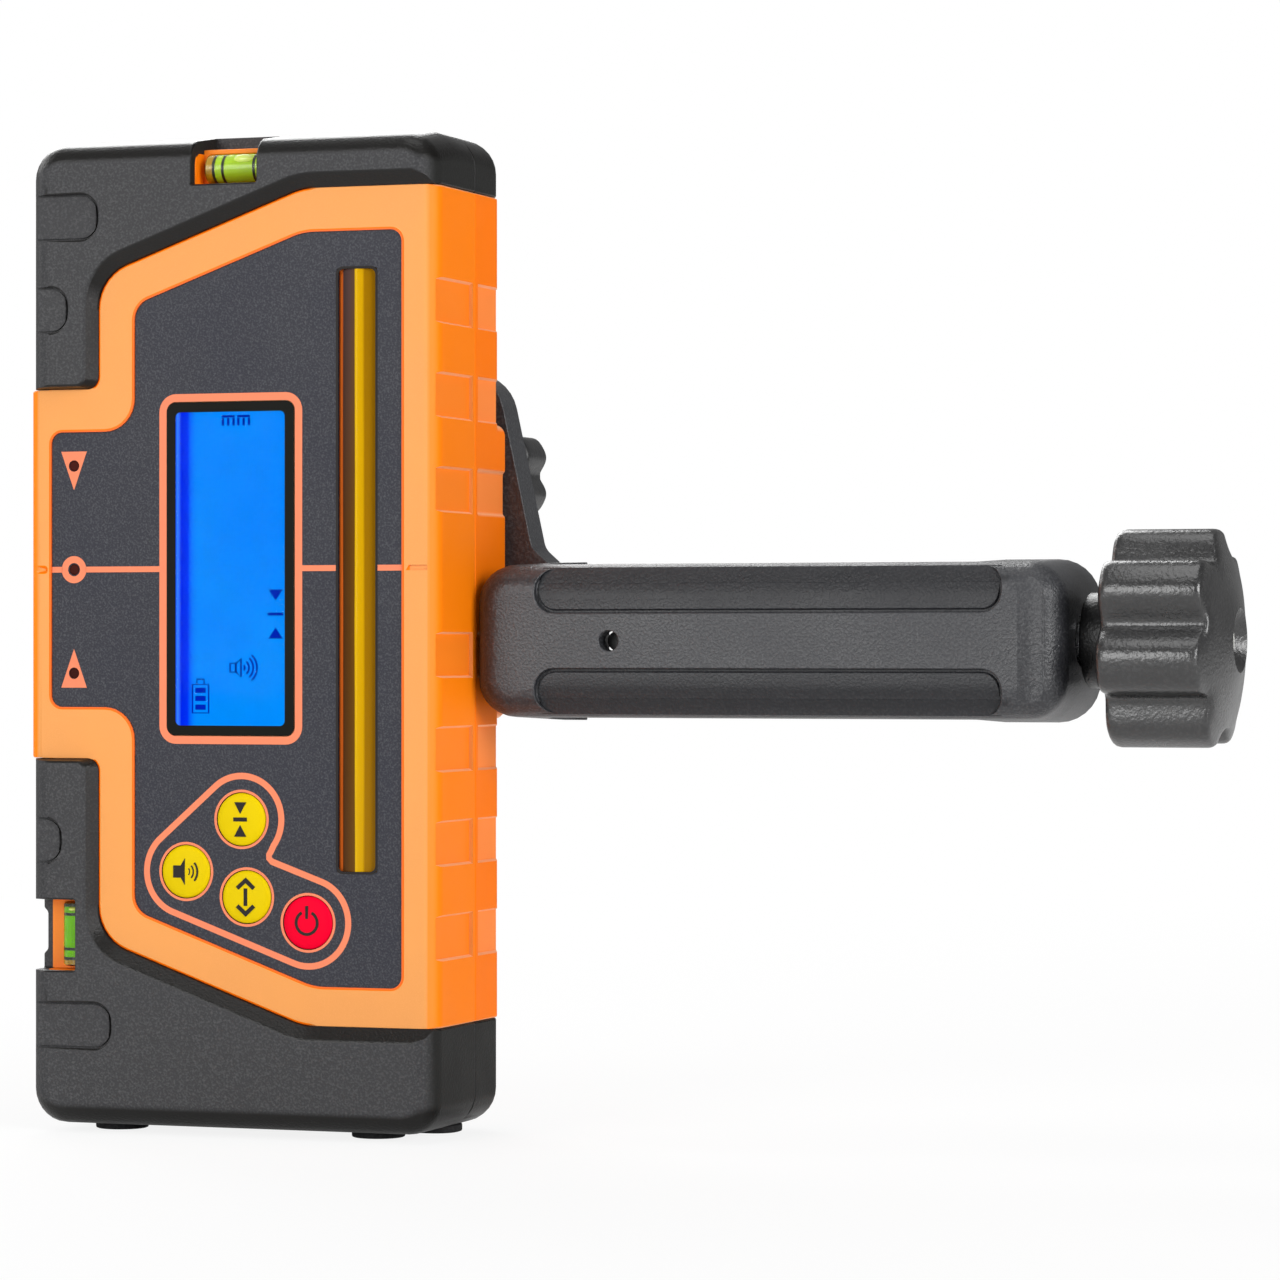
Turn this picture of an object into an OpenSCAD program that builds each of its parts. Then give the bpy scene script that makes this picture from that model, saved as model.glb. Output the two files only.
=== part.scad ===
// Laser receiver with its rod clamp, in millimetres.
// The receiver's face looks along -Y, the clamp arm runs out along +X and +Z is up.
// Pieces are drawn from the on-grade mark in the middle of the receiver's face, and then
// moved so that the origin lies in the middle of the clamp's rod gap, level with that mark.

/* [Receiver body] */
// Width across the side walls
body_w = 76; // [72:0.5:82]
// Depth from the front face to the parting line
front_depth = 17.5; // [16.5:0.1:20]
// Depth from the parting line to the rear face
rear_depth = 12.5; // [12:0.1:15]
// Corner radius seen from the front
corner_r = 6; // [5:0.5:8]
// Rounding of the shells' outer edges
edge_r = 2.7; // [1.5:0.1:3.2]
// Wall of the shells inside the bumpers
shell_wall = 1.8; // [1.4:0.1:2.2]
// How far the left waist stands out past the side wall
waist_lift = 0.9; // [0.3:0.1:1.5]
// Rise of the raised middle of the rear shell
bulge_rise = 4; // [3:0.1:6]
// Height of the raised middle above the on-grade mark
bulge_up = 25.5; // [24:0.5:28]

/* [Bumpers] */
// Thickness of the bumpers
skin = 2.2; // [1.8:0.1:2.6]
// Rise of the front bumpers above the front face
bumper_lift = 1.8; // [1.2:0.1:2]
// Rise of the rear bumpers above the rear face
rear_lift = 0.6; // [0.2:0.1:1]
// Rounding of the bumpers' outer edges
bumper_edge_r = 4; // [2.5:0.1:4.5]
// Height of the upper bumper on the right
head_bumper_h = 9; // [8.4:0.2:12]
// Height of the lower bumper on the right
foot_bumper_h = 18.2; // [17.6:0.2:22]
// Where the raked edge starts, right of the middle
shoulder_x = 13.4; // [10:0.2:16]
// Where the upright edge runs, from the left side
flank_margin = 12.8; // [11.6:0.2:14]
// Rake of the slanted edge in degrees
rake = 20.2; // [15:0.2:23]
// Height of the upper bumper's lower end on the left
waist_up = 31.2; // [29:0.2:33]
// Depth of the lower bumper's upper end on the left
waist_down = 32.7; // [31:0.2:34]
// Width of the slope along the raked edge
slant_slope = 2.5; // [1.5:0.1:3]
// Width of the slope along the upright edge
flank_slope = 2.1; // [1.2:0.1:3]
// Width of the slope along the waist edge
waist_slope = 0.6; // [0.3:0.1:1]
// Bend of the edge above and below the waist
bend_r = 8; // [5:0.5:9]
// Rise of the top from its front edge to the middle
crown = 1.1; // [0.3:0.1:1.6]

/* [Grips] */
// Height of one grip recess
rib_h = 7.8; // [6:0.1:9]
// Distance from one grip recess to the next
rib_pitch = 16; // [14:0.1:17]
// Depth of a grip recess
rib_depth = 0.7; // [0.4:0.1:1]
// Height of the first recess above the on-grade mark
rib_first_up = 13.3; // [12:0.1:15]
// Depth of the first recess below the on-grade mark
rib_first_down = 14.8; // [13:0.1:16]
// Upper finger groove, below the top
groove_below = 12.8; // [12:0.2:14]
// Lowest finger groove, above the underside
groove_above = 17.2; // [16:0.2:18]
// Depth of a finger groove
groove_depth = 0.75; // [0.4:0.05:1]

/* [Front panel] */
// Rim of the shell right of the panel
rim_right = 6.4; // [5:0.1:7]
// Rim of the shell left of the panel
rim_left = 3.5; // [2.8:0.1:4.5]
// Rim of the shell above the panel
rim_up = 7.3; // [6:0.1:9]
// Rim of the shell below the panel
rim_down = 6.5; // [5.5:0.1:8]
// Rim of the shell along the panel's upright left edge
rim_flank = 6.6; // [5.8:0.1:7.4]
// Panel above the sensor window
panel_above = 6.6; // [5:0.1:9]
// Panel below the sensor window, with the keys
panel_below = 19.8; // [19:0.1:22]
// Half height of the panel's left wing
panel_wing = 24; // [22.5:0.1:26]
// Thickness of the panel
panel_t = 1.2; // [0.8:0.1:1.4]
// How far the panel lies below the shell's face
panel_sink = 0.3; // [0.1:0.05:0.5]

/* [Screen and sensor] */
// Middle of the screen, right of the body's middle
screen_x = -0.5; // [-1.5:0.1:0.5]
// Width of the screen's window
screen_w = 20.5; // [18:0.1:22]
// Height of the screen's window
screen_h = 53.9; // [48:0.1:56]
// Middle of the sensor window, from the panel's right edge
sensor_margin = 8.5; // [8.1:0.1:8.8]
// Width of the sensor window
sensor_w = 7.2; // [6:0.1:7.6]
// Height of the sensor window
sensor_h = 102.6; // [96:0.2:104]
// Number of photodiodes behind the window
diode_count = 14; // [8:1:18]
// Indicators, from the panel's left edge
led_margin = 4.4; // [4:0.1:5]
// Distance between the indicators
led_pitch = 18; // [15:0.1:19]
// Diameter of an indicator lens
led_d = 1.8; // [1.4:0.1:2.2]

/* [Keys] */
// Diameter of a key
key_d = 9.1; // [8:0.1:9.6]
// Left key, left of the middle
key_x = 8.7; // [8:0.1:9.2]
// Left key, above the panel's lower edge
key_above = 19.4; // [18.6:0.1:20]
// Step along the lower row of keys
key_step_x = 11.4; // [11.2:0.1:11.6]
// Drop along the lower row of keys
key_step_z = 4.2; // [3.8:0.1:4.4]
// Upper key, right of the left key
key_rise_x = 10.4; // [10:0.1:10.8]
// Upper key, above the left key
key_rise_z = 9.1; // [8.8:0.1:9.4]
// Travel of a key
key_travel = 0.6; // [0.4:0.05:0.7]
// How far a key stands above the panel
key_proud = 0.6; // [0.3:0.1:1]

/* [Level vials] */
// Diameter of a vial
vial_d = 5.2; // [4.6:0.1:5.6]
// Length of a vial
vial_len = 11; // [9:0.1:11.6]
// Middle of the top vial, below the top
top_vial_below = 4.9; // [4.4:0.1:5.1]
// Middle of the top vial's notch, left of the middle
top_notch_x = 0.85; // [0:0.05:2]
// Width of a vial's notch
notch_w = 12.3; // [12:0.1:13]
// Middle of the side vial, above the underside
side_vial_above = 32.8; // [32:0.1:33.4]
// Middle of the side vial, from the left side
side_vial_margin = 7.1; // [6.8:0.1:8]

/* [Batteries] */
// Diameter of a battery cell
cell_d = 14.4; // [13.5:0.1:14.5]
// Length of a battery cell with its button
cell_len = 50.5; // [44:0.1:50.5]
// Floor of the battery tray above the underside
tray_above = 11.2; // [10.8:0.1:12]
// Thickness of the battery door
door_t = 2.4; // [2:0.1:2.6]
// Diameter of the door's hinge pin
hinge_pin_d = 1.6; // [1.2:0.1:1.8]

/* [Clamp frame] */
// Length of the clamp arm
arm_len = 104.3; // [99:0.1:112]
// Height of the clamp arm
arm_h = 26.2; // [25:0.2:28]
// Height of the reading edge above the on-grade mark
arm_up = 0.7; // [0:0.1:1.2]
// Depth of the arm's front behind the receiver's face
arm_y = 14; // [13:0.1:15]
// Thickness of the arm's spine
spine_t = 8; // [7.5:0.1:9]
// Gap between the receiver's side and the arm
arm_gap = 0.5; // [0.4:0.1:1.2]
// Thickness of the bracket tongue
tongue_t = 7; // [6:0.1:8]
// Length of the block that carries the fixed jaw
fixed_block = 11.5; // [9:0.1:12]
// Length of the block that carries the nut
end_block = 16.8; // [14:0.1:18]
// Gap between the jaw pads at rest
rod_gap = 14; // [12:0.1:16]
// Thickness of a jaw pad
pad_t = 2; // [1.5:0.1:3]
// Length of the moving jaw
jaw_len = 12; // [11:0.1:14]
// Depth of the notch in the jaws
vee_depth = 4; // [2:0.1:4.5]

/* [Clamp screw and knobs] */
// Diameter of the clamp screw
screw_d = 8; // [7:0.1:9]
// Depth of the clamp screw behind the arm's front
screw_depth = 13.5; // [13:0.1:14.5]
// Radius over the clamp knob's lobes
knob_r = 18.5; // [16:0.1:20]
// Depth of the hollows between the lobes
knob_hollow = 4; // [2:0.1:4.5]
// Length of the clamp knob
knob_len = 20.4; // [18:0.1:24]
// Distance from the arm's end to the knob
knob_gap = 6.5; // [5:0.1:8]
// Number of lobes on the clamp knob
knob_lobes = 7; // [5:1:9]
// Diameter of the bracket stud
stud_d = 6; // [5:0.1:6.5]
// Bracket stud, from the right side
stud_margin = 9; // [8.5:0.1:10]
// Bracket stud, above the on-grade mark
stud_up = 17.2; // [16:0.1:17.5]
// Radius over the bracket knob's lobes
small_knob_r = 10.2; // [9:0.1:11]
// Length of the bracket knob
small_knob_len = 11; // [9:0.1:13]
// Number of lobes on the bracket knob
small_knob_lobes = 6; // [5:1:8]

/* [Hidden] */
$fn = 48;

// Colours
orange = "#F58226";
charcoal = "#434345";
panel_grey = "#3E3E44";
black = "#2C2C2E";
steel = "#B8BABD";
brass = "#C9A24A";
board_green = "#1F5A3A";
pad_grey = "#55565A";

// Clearances and cuts
over = 1;
fit = 0.03;
run = 0.05;
slip = 0.3;
seam = 0.1;
reach = 6;
least_r = 0.4;

// Steps of a rounded corner and of a rounded edge
corner_steps = 7;
edge_angle = 18;

// Heights up the receiver, and levels through it from front to back
half_w = body_w / 2;
sensor_drop = 0.4;
panel_up = sensor_h / 2 - sensor_drop + panel_above;
panel_down = sensor_h / 2 + sensor_drop + panel_below;
shoulder_up = panel_up + rim_up;
shoulder_down = panel_down + rim_down;
head_h = shoulder_up + head_bumper_h;
base_h = shoulder_down + foot_bumper_h;
rear_y = front_depth + rear_depth;
bulge_y = rear_y + bulge_rise;
core_y = skin - bumper_lift;
core_rear_y = rear_y + rear_lift - skin;
recess_y = panel_sink + panel_t;
front_wall = 1.3;
cavity_y = recess_y + front_wall;
cavity_rear_y = core_rear_y - shell_wall;
core_r = 2;
cavity_r = 1;
far_x = half_w + waist_lift + reach;

// Bumper edges
flank_x = half_w - flank_margin;
ease_r = 14;
waist_r = 2.2;
rear_strip = 4.2;
fall = (shoulder_x + flank_x) * tan(rake);

// Grips
ribs_up = 3;
ribs_down = 4;
rib_margin = 1.2;
groove_h = 8;
groove_r = 3.4;
groove_line = 0.4;
groove_line_depth = 0.35;
groove_reaches = [13.4, 7.6, 6.4, 15.9];
grooves_up = [head_h - groove_below, head_h - groove_below - rib_pitch];
grooves_down = [for (i = [0 : 2]) groove_above + i * rib_pitch - base_h];
mark_h = 0.9;
mark_len = 3.6;
mark_margin = 1.9;
mark_depth = 0.4;

// Front panel
panel_right = half_w - rim_right;
panel_left = half_w - rim_left;
panel_flank = flank_x - rim_flank;
sensor_x = panel_right - sensor_margin;
led_x = panel_left - led_margin;
key_down = panel_down - key_above;
panel_r = 2.2;
panel_bend_r = 4;
panel_ease_r = 12;
panel_concave_r = 5.5;
panel_shoulder_x = 13.2;
panel_shoulder_low = 15.2;

// Screen stack
lens_margin = 1.8;
lens_r = 1.6;
screen_r = 0.6;
lcd_gap = 0.2;
lcd_t = 1.8;
lcd_margin = 1.6;
backlight_t = 3.2;
lcd_y = cavity_y + lcd_gap;
backlight_y = lcd_y + lcd_t;
board_y = backlight_y + backlight_t;
board_t = 1.6;

// Sensor window and its board
sensor_r = 0.3;
sensor_flange = 1.1;
sensor_flange_t = 1;
sensor_ridge = 0.9;
diode_w = 5;
diode_h = 5.2;
diode_t = 1.8;
strip_margin = 4.4;
strip_w = 10;
post_r = 2;

// Indicators
lens_flange = 0.7;
lens_flange_t = 0.8;
led_r = 1.5;
led_t = 3.2;

// Keys and their switches
key_r = key_d / 2;
key_gap = 0.1;
key_crown = 0.6;
key_crown_shares = [[0, 0], [0.5, 0.1], [0.8, 0.36], [0.93, 0.68], [1, 1.4]];
key_flange = 0.8;
key_flange_t = 0.8;
key_stem_r = 2;
switch_gap = 0.05;
switch_w = 6;
switch_t = 1.8;
plunger_r = 1.7;
plunger_t = 0.45;
key_places = [
    [-key_x + key_rise_x, -key_down + key_rise_z],
    [-key_x, -key_down],
    [-key_x + key_step_x, -key_down - key_step_z],
    [-key_x + 2 * key_step_x, -key_down - 2 * key_step_z]
];
plunger_y = board_y - switch_t - plunger_t;
key_stem_y = plunger_y - switch_gap - key_travel;

// Main board
board_lap = 5;
board_gap = 5.9;
board_below = 4.9;
board_over = 0.1;
board_wing_gap = 1.5;
board_left = panel_flank + board_lap;
board_right = sensor_x - board_gap;
board_up = panel_up - board_below;
board_down = panel_down + board_over;
board_wing = panel_left - board_wing_gap;
board_wing_h = 43;
board_corner_r = 1.5;
board_screw_r = 1.2;
board_head_r = 2.2;
board_head_t = 1.5;
board_screw_len = 5;
standoff_r = 2.5;
screw_margin = 2.8;
board_fixings = [
    [-board_left + screw_margin, board_up - screw_margin],
    [board_right - screw_margin, board_up - screw_margin],
    [-board_left + screw_margin, -board_down + screw_margin],
    [board_right - screw_margin, -board_down + screw_margin]
];
buzzer_r = 7;
buzzer_t = 5;
buzzer_port_r = 1;
buzzer_x = -8;
buzzer_below = 10.6;
buzzer_up = board_up - buzzer_below;
slot_w = 1.2;
slot_len = 11;
slot_pitch = 3;

// Cross recesses of the screws
cross_share = 0.65;
cross_width_share = 0.14;
cross_depth = 0.7;

// Shell fastenings and gasket
boss_r = 3.4;
boss_inset = 8.5;
boss_below = 4.3;
boss_above = 11.7;
boss_x = half_w - boss_inset;
boss_up = shoulder_up - boss_below;
boss_down = base_h - boss_above;
screw_r = 1.5;
screw_head_r = 2.7;
screw_head_t = 1.8;
screw_bite = 11;
head_sink = 2.6;
gasket_w = 0.9;
gasket_t = 1;
boss_places = [
    [-boss_x, boss_up], [boss_x, boss_up], [-boss_x, -boss_down], [boss_x, -boss_down]
];

// Feet
foot_r = 4.6;
foot_t = 1.4;
left_foot_margin = 12.4;
right_foot_margin = 15;
rear_foot_margin = 10.8;
rear_foot_w = 12;
rear_foot_corner = 4;
foot_before = 7.3;
left_foot_x = half_w - left_foot_margin;
right_foot_x = half_w - right_foot_margin;
foot_y = front_depth - foot_before;
rear_foot_y = front_depth + foot_r + run;
foot_places = [[-left_foot_x, foot_y], [right_foot_x, foot_y]];
rear_foot_x = half_w - rear_foot_margin;

// Vials
vial_r = vial_d / 2;
top_vial_up = head_h - top_vial_below;
side_vial_down = base_h - side_vial_above;
side_vial_x = half_w - side_vial_margin;
vial_y = 3.8;
vial_wall = 1.2;
seat_depth = 5.3;
seat_rim = 0.9;
seat_gap = 0.08;
top_notch_floor = top_vial_up - vial_r - slip;
top_vial_x = -0.3;
notch_y = vial_y + seat_depth + seat_gap;
side_seat_out = 5.1;
side_seat_in = 3.4;
side_lip = 1.9;
side_ledge_y = 4.4;
side_notch_edge = side_vial_x - side_lip;

// Battery tray and door
cell_r = cell_d / 2;
cell_gap = 0.4;
tray_wall = 1.2;
contact_room = 4.5;
tray_side = 1;
tray_half = 2 * cell_r + tray_side;
seal_t = 0.5;
seal_w = 1;
seal_margin = 1.1;
door_y = rear_y - door_t;
ledge_y = door_y - seal_t;
cell_y = door_y - cell_gap - cell_r;
tray_y = cell_y - cell_r - cell_gap;
tray_foot = base_h - tray_above;
tray_down = tray_foot - cell_len - contact_room;
door_rim = 2.6;
door_top = tray_down - door_rim;
bulge_margin = 1.4;
bulge_down = door_top - bulge_margin;
door_gap = 0.35;
door_half = tray_half + door_rim;
hinge_drop = 4.6;
hinge_z = -(tray_foot + hinge_drop);
hinge_r = 1.9;
hinge_y = rear_y - hinge_r;
lug_r = 1.7;
lug_w = 4.2;
knuckle_w = 16;
hinge_room = 0.4;
frame_back = 2.1;
hinge_pin_r = hinge_pin_d / 2;
contact_t = 0.4;
contact_w = 9;
contact_rise = 2.6;
nub_r = 2.7;
nub_h = 1;
grip_w = 14;
grip_count = 5;
grip_pitch = 2.2;
grip_h = 1.1;
grip_depth = 0.8;

// Clamp frame
arm_x = half_w + arm_gap;
arm_end = arm_x + arm_len;
arm_down = arm_h - arm_up;
axis_z = arm_up - arm_h / 2;
arm_r = 6.5;
arm_edge_r = 5;
arm_draft = 0.8;
spine_y = arm_y + spine_t;
frame_y = bulge_y + tongue_t;
pocket_depth = 0.8;
pocket_h = 7.8;
pocket_left = 11.6;
pocket_right = 10.3;
pocket_edge = 0.6;
pocket_line = 0.6;
pocket_line_depth = 0.5;
pocket_r = 3.5;
valley_r = 6;
valley_depth = 0.7;
valley_margin = 4.8;
pocket_web = 3.6;

// Bracket tongue
stud_x = half_w - stud_margin;
tongue_side = 13;
tongue_lap = 4.1;
tongue_rise = 17.8;
tongue_drop = 19.6;
tongue_left = stud_x - tongue_side;
tongue_right = arm_x + tongue_lap;
tongue_lean = 7.25;
tongue_up = stud_up + tongue_rise;
tongue_low = stud_up - tongue_drop;
tongue_r = 8;
tongue_fillet = 3.2;
tongue_foot = 4;
tongue_rim = 2.6;
tongue_boss_r = 8.4;

// Jaws, guide and stop
fixed_x = arm_x + fixed_block;
gap_end = arm_end - end_block;
pad_face = fixed_x + pad_t;
moving_face = pad_face + rod_gap;
jaw_x = moving_face + pad_t;
jaw_end = jaw_x + jaw_len;
jaw_trim = 0.4;
vee_y = (spine_y + frame_y) / 2;
vee_half = 8;
key_slot_h = 10;
key_slot_depth = 4.5;
slot_lead = 9;
slot_start = pad_face + slot_lead;
stop_pin_r = 1.7;
stop_lead = 0.9;
stop_pin_x = slot_start + stop_pin_r + stop_lead;
stop_pin_sink = 4.5;
guide_start = stop_pin_x + stop_pin_r + slip;

// Clamp screw
thread_r = screw_d / 2;
screw_y = arm_y + screw_depth;
nut_wall = 2.5;
nut_cover = 2.8;
tip_step = 1;
neck_step = 0.8;
nut_r = thread_r + nut_wall;
nut_len = end_block - nut_cover;
tip_r = thread_r - tip_step;
tip_len = 5.2;
tip_neck_r = tip_r - neck_step;
tip_neck_w = 1.8;
tip_lead = 1.6;
keeper_r = 0.75;
keeper_half = 9;
knob_x = arm_end + knob_gap;
hub_r = 8;
hub_gap = 1.4;
knob_screw_end = 13;
dimple_r = 5.1;
dimple_floor_r = 3;
dimple_depth = 2.9;
end_screw_r = 2.7;
end_screw_t = 1.3;
end_screw_len = 3;
end_shank_r = 1.4;

// Bracket stud and its insert
stud_r = stud_d / 2;
insert_wall = 1.6;
insert_r = stud_r + insert_wall;
insert_len = 9;
insert_sink = 0.4;
insert_boss_wall = 2.6;
insert_boss_r = insert_r + insert_boss_wall;
stud_bite = 8;
washer_r = 7;
washer_t = 1;
stud_grip = 8;

// Knob profile: share of the length, share of the radius, share of the hollows
knob_shares = [
    [0, 0.93, 0.9], [0.015, 0.97, 0.97], [0.04, 0.99, 1], [0.08, 1, 1], [0.78, 1, 1], [0.82, 0.992, 0.97],
    [0.845, 0.97, 0.86], [0.862, 0.9, 0.55], [0.878, 0.84, 0.27], [0.895, 0.78, 0.04], [0.93, 0.6, 0],
    [1, 0.29, 0]
];
lobe_steps = 14;

// Middle of the rod gap, where the origin lies
rod_x = pad_face + rod_gap / 2;
rod_y = vee_y;

// Plane vectors
function unit(v) = v / norm(v);
function left_of(v) = [-v[1], v[0]];
function crossed(a, b) = a[0] * b[1] - a[1] * b[0];
function turned(v, a) = [v[0] * cos(a) - v[1] * sin(a), v[0] * sin(a) + v[1] * cos(a)];
function flat(p) = [p[0], p[1]];
function before(list, i) = list[(i + len(list) - 1) % len(list)];
function after(list, i) = list[(i + 1) % len(list)];

// Outline with its corners rounded: points are [x, z, radius], counter-clockwise
function rounded(pts) = [
    for (i = [0 : len(pts) - 1])
        let (
            p = flat(pts[i]),
            a = unit(p - flat(before(pts, i))),
            b = unit(flat(after(pts, i)) - p),
            turn = atan2(crossed(a, b), a * b),
            r = pts[i][2],
            start = p - a * r * tan(abs(turn) / 2),
            mid = start + left_of(a) * r * sign(turn)
        )
        for (k = [0 : corner_steps]) mid + turned(start - mid, turn * k / corner_steps)
];

// The same outline with each edge moved inwards by its own distance
function inset(pts, ds) = [
    for (i = [0 : len(pts) - 1])
        let (
            p = flat(pts[i]),
            a = unit(p - flat(before(pts, i))),
            b = unit(flat(after(pts, i)) - p),
            q = p + left_of(a) * before(ds, i),
            s = p + left_of(b) * ds[i],
            hit = q + a * crossed(s - q, b) / crossed(a, b),
            r = pts[i][2] - sign(crossed(a, b)) * min(before(ds, i), ds[i])
        )
        [hit[0], hit[1], max(r, least_r)]
];
function all_round(pts, d) = [for (p = pts) d];

// Four points of a rectangle from its lower left to its upper right corner
function box_pts(x0, z0, x1, z1, r) = [[x0, z0, r], [x1, z0, r], [x1, z1, r], [x0, z1, r]];
function box_outline(x0, z0, x1, z1, r) = rounded(box_pts(x0, z0, x1, z1, r));

// Rings of the receiver's body, each [y, outline]
function body_pts(left, rise = 0) = box_pts(-half_w - left, -base_h, half_w, head_h + rise, corner_r);
function body_ring(y, d, left, rise = 0) = [y, rounded(inset(body_pts(left, rise), [d, d, d, d]))];
function front_round(y0, y1, r, d, left = 0, rise = 0) = concat(
    [for (a = [90 : -edge_angle : 0]) body_ring(y0 + r * (1 - sin(a)), d + r * (1 - cos(a)), left)],
    rise > 0 ? [body_ring(notch_y, d, left, rise)] : [],
    [body_ring(y1, d, left, rise)]
);
function rear_round(y0, y1, r, d, left = 0, rise = 0) = concat(
    [body_ring(y0, d, left, rise)],
    [for (a = [0 : edge_angle : 90]) body_ring(y1 - r * (1 - sin(a)), d + r * (1 - cos(a)), left, rise)]
);

// Regions of the front half: upper bumper, lower bumper and the shell between them
top_zone = [
    [-far_x, waist_up, least_r], [-flank_x, waist_up, waist_r],
    [-flank_x, shoulder_up - fall, bend_r], [shoulder_x, shoulder_up, ease_r],
    [far_x, shoulder_up, least_r], [far_x, head_h + reach, least_r], [-far_x, head_h + reach, least_r]
];
top_slopes = [waist_slope, flank_slope, slant_slope, slant_slope, 0, 0, 0];
bottom_zone = [
    [far_x, -shoulder_down, least_r], [shoulder_x, -shoulder_down, ease_r],
    [-flank_x, fall - shoulder_down, bend_r], [-flank_x, -waist_down, waist_r],
    [-far_x, -waist_down, least_r], [-far_x, -base_h - reach, least_r], [far_x, -base_h - reach, least_r]
];
bottom_slopes = [slant_slope, slant_slope, flank_slope, waist_slope, 0, 0, 0];
shell_zone = [
    [-far_x, -waist_down, least_r], [-flank_x, -waist_down, waist_r],
    [-flank_x, fall - shoulder_down, bend_r], [shoulder_x, -shoulder_down, ease_r],
    [far_x, -shoulder_down, least_r], [far_x, shoulder_up, least_r], [shoulder_x, shoulder_up, ease_r],
    [-flank_x, shoulder_up - fall, bend_r], [-flank_x, waist_up, waist_r], [-far_x, waist_up, least_r]
];

// Regions of the rear half
strip_x = half_w - rear_strip;
rear_top_zone = [
    [-far_x, waist_up, least_r], [-strip_x, waist_up, waist_r], [-strip_x, shoulder_up, bend_r],
    [far_x, shoulder_up, least_r], [far_x, head_h + reach, least_r], [-far_x, head_h + reach, least_r]
];
rear_bottom_zone = [
    [far_x, -shoulder_down, least_r], [-strip_x, -shoulder_down, bend_r], [-strip_x, -waist_down, waist_r],
    [-far_x, -waist_down, least_r], [-far_x, -base_h - reach, least_r], [far_x, -base_h - reach, least_r]
];
rear_zone = [
    [-far_x, -waist_down, least_r], [-strip_x, -waist_down, waist_r], [-strip_x, -shoulder_down, bend_r],
    [far_x, -shoulder_down, least_r], [far_x, shoulder_up, least_r], [-strip_x, shoulder_up, bend_r],
    [-strip_x, waist_up, waist_r], [-far_x, waist_up, least_r]
];

// Outline of the front panel
panel_fall = (panel_shoulder_x + panel_flank) * tan(rake);
panel_fall_low = (panel_shoulder_low + panel_flank) * tan(rake);
panel_pts = [
    [-panel_left, -panel_wing, panel_r], [-panel_flank, -panel_wing, panel_concave_r],
    [-panel_flank, panel_fall_low - panel_down, panel_bend_r],
    [panel_shoulder_low, -panel_down, panel_ease_r], [panel_right, -panel_down, panel_r],
    [panel_right, panel_up, panel_r], [panel_shoulder_x, panel_up, panel_ease_r],
    [-panel_flank, panel_up - panel_fall, panel_bend_r], [-panel_flank, panel_wing, panel_concave_r],
    [-panel_left, panel_wing, panel_r]
];

// Solid between rings [y, outline] that all have the same number of points
module loft(rings) {
    n = len(rings[0][1]);
    m = len(rings);
    polyhedron(
        points = [for (ring = rings) for (p = ring[1]) [p[0], ring[0], p[1]]],
        faces = concat(
            [[for (i = [n - 1 : -1 : 0]) i]],
            [for (k = [0 : m - 2]) for (i = [0 : n - 1])
                [k * n + i, k * n + (i + 1) % n, (k + 1) * n + (i + 1) % n]],
            [for (k = [0 : m - 2]) for (i = [0 : n - 1])
                [k * n + i, (k + 1) * n + (i + 1) % n, (k + 1) * n + i]],
            [[for (i = [0 : n - 1]) (m - 1) * n + i]]
        )
    );
}

// An outline in X and Z, drawn out from y0 to y1
module plate(y0, y1) {
    translate([0, y1, 0]) rotate([90, 0, 0]) linear_extrude(y1 - y0) children();
}

// An outline in X and Y, drawn out from z0 to z1
module slice(z0, z1) {
    translate([0, 0, z0]) linear_extrude(z1 - z0) children();
}

// Round bars along Y, X and Z
module bar_y(r, y0, y1) {
    translate([0, y0, 0]) rotate([-90, 0, 0]) cylinder(r = r, h = y1 - y0);
}
module bar_x(r, x0, x1) {
    translate([x0, 0, 0]) rotate([0, 90, 0]) cylinder(r = r, h = x1 - x0);
}
module bar_z(r, z0, z1) {
    translate([0, 0, z0]) cylinder(r = r, h = z1 - z0);
}

// A block between two corners
module block(a, b) {
    translate(a) cube(b - a);
}

// Children at each place [x, z] of a list
module each_place(places) {
    for (p = places) translate([p[0], 0, p[1]]) children();
}

// Cross recess in a screw head of radius r whose face looks along +Y at y
module cross_recess(r, y) {
    half = r * cross_share;
    width = r * cross_width_share;
    for (a = [0, 90]) rotate([0, a, 0])
        block([-half, y - cross_depth, -width], [half, y + over, width]);
}

// Inner body of the front and rear halves, which the bumpers lie on
module front_core(grow = 0) {
    loft(front_round(core_y - grow, front_depth, core_r, skin - grow));
}
module rear_core(grow = 0) {
    loft(rear_round(front_depth, core_rear_y + grow, core_r, skin - grow));
}

// Grip recesses on the right side, from y0 to y1
module grip_cuts(y0, y1) {
    levels = concat(
        [for (i = [0 : ribs_up - 1]) rib_first_up + i * rib_pitch],
        [for (i = [0 : ribs_down - 1]) -rib_first_down - i * rib_pitch]
    );
    half = rib_h / 2;
    for (z = levels) translate([half_w, 0, z]) plate(y0, y1) polygon([
        [-rib_depth, rib_depth / 2 - half], [rib_depth, -rib_depth / 2 - half],
        [rib_depth, rib_depth / 2 + half], [-rib_depth, half - rib_depth / 2]
    ]);
}

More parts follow.
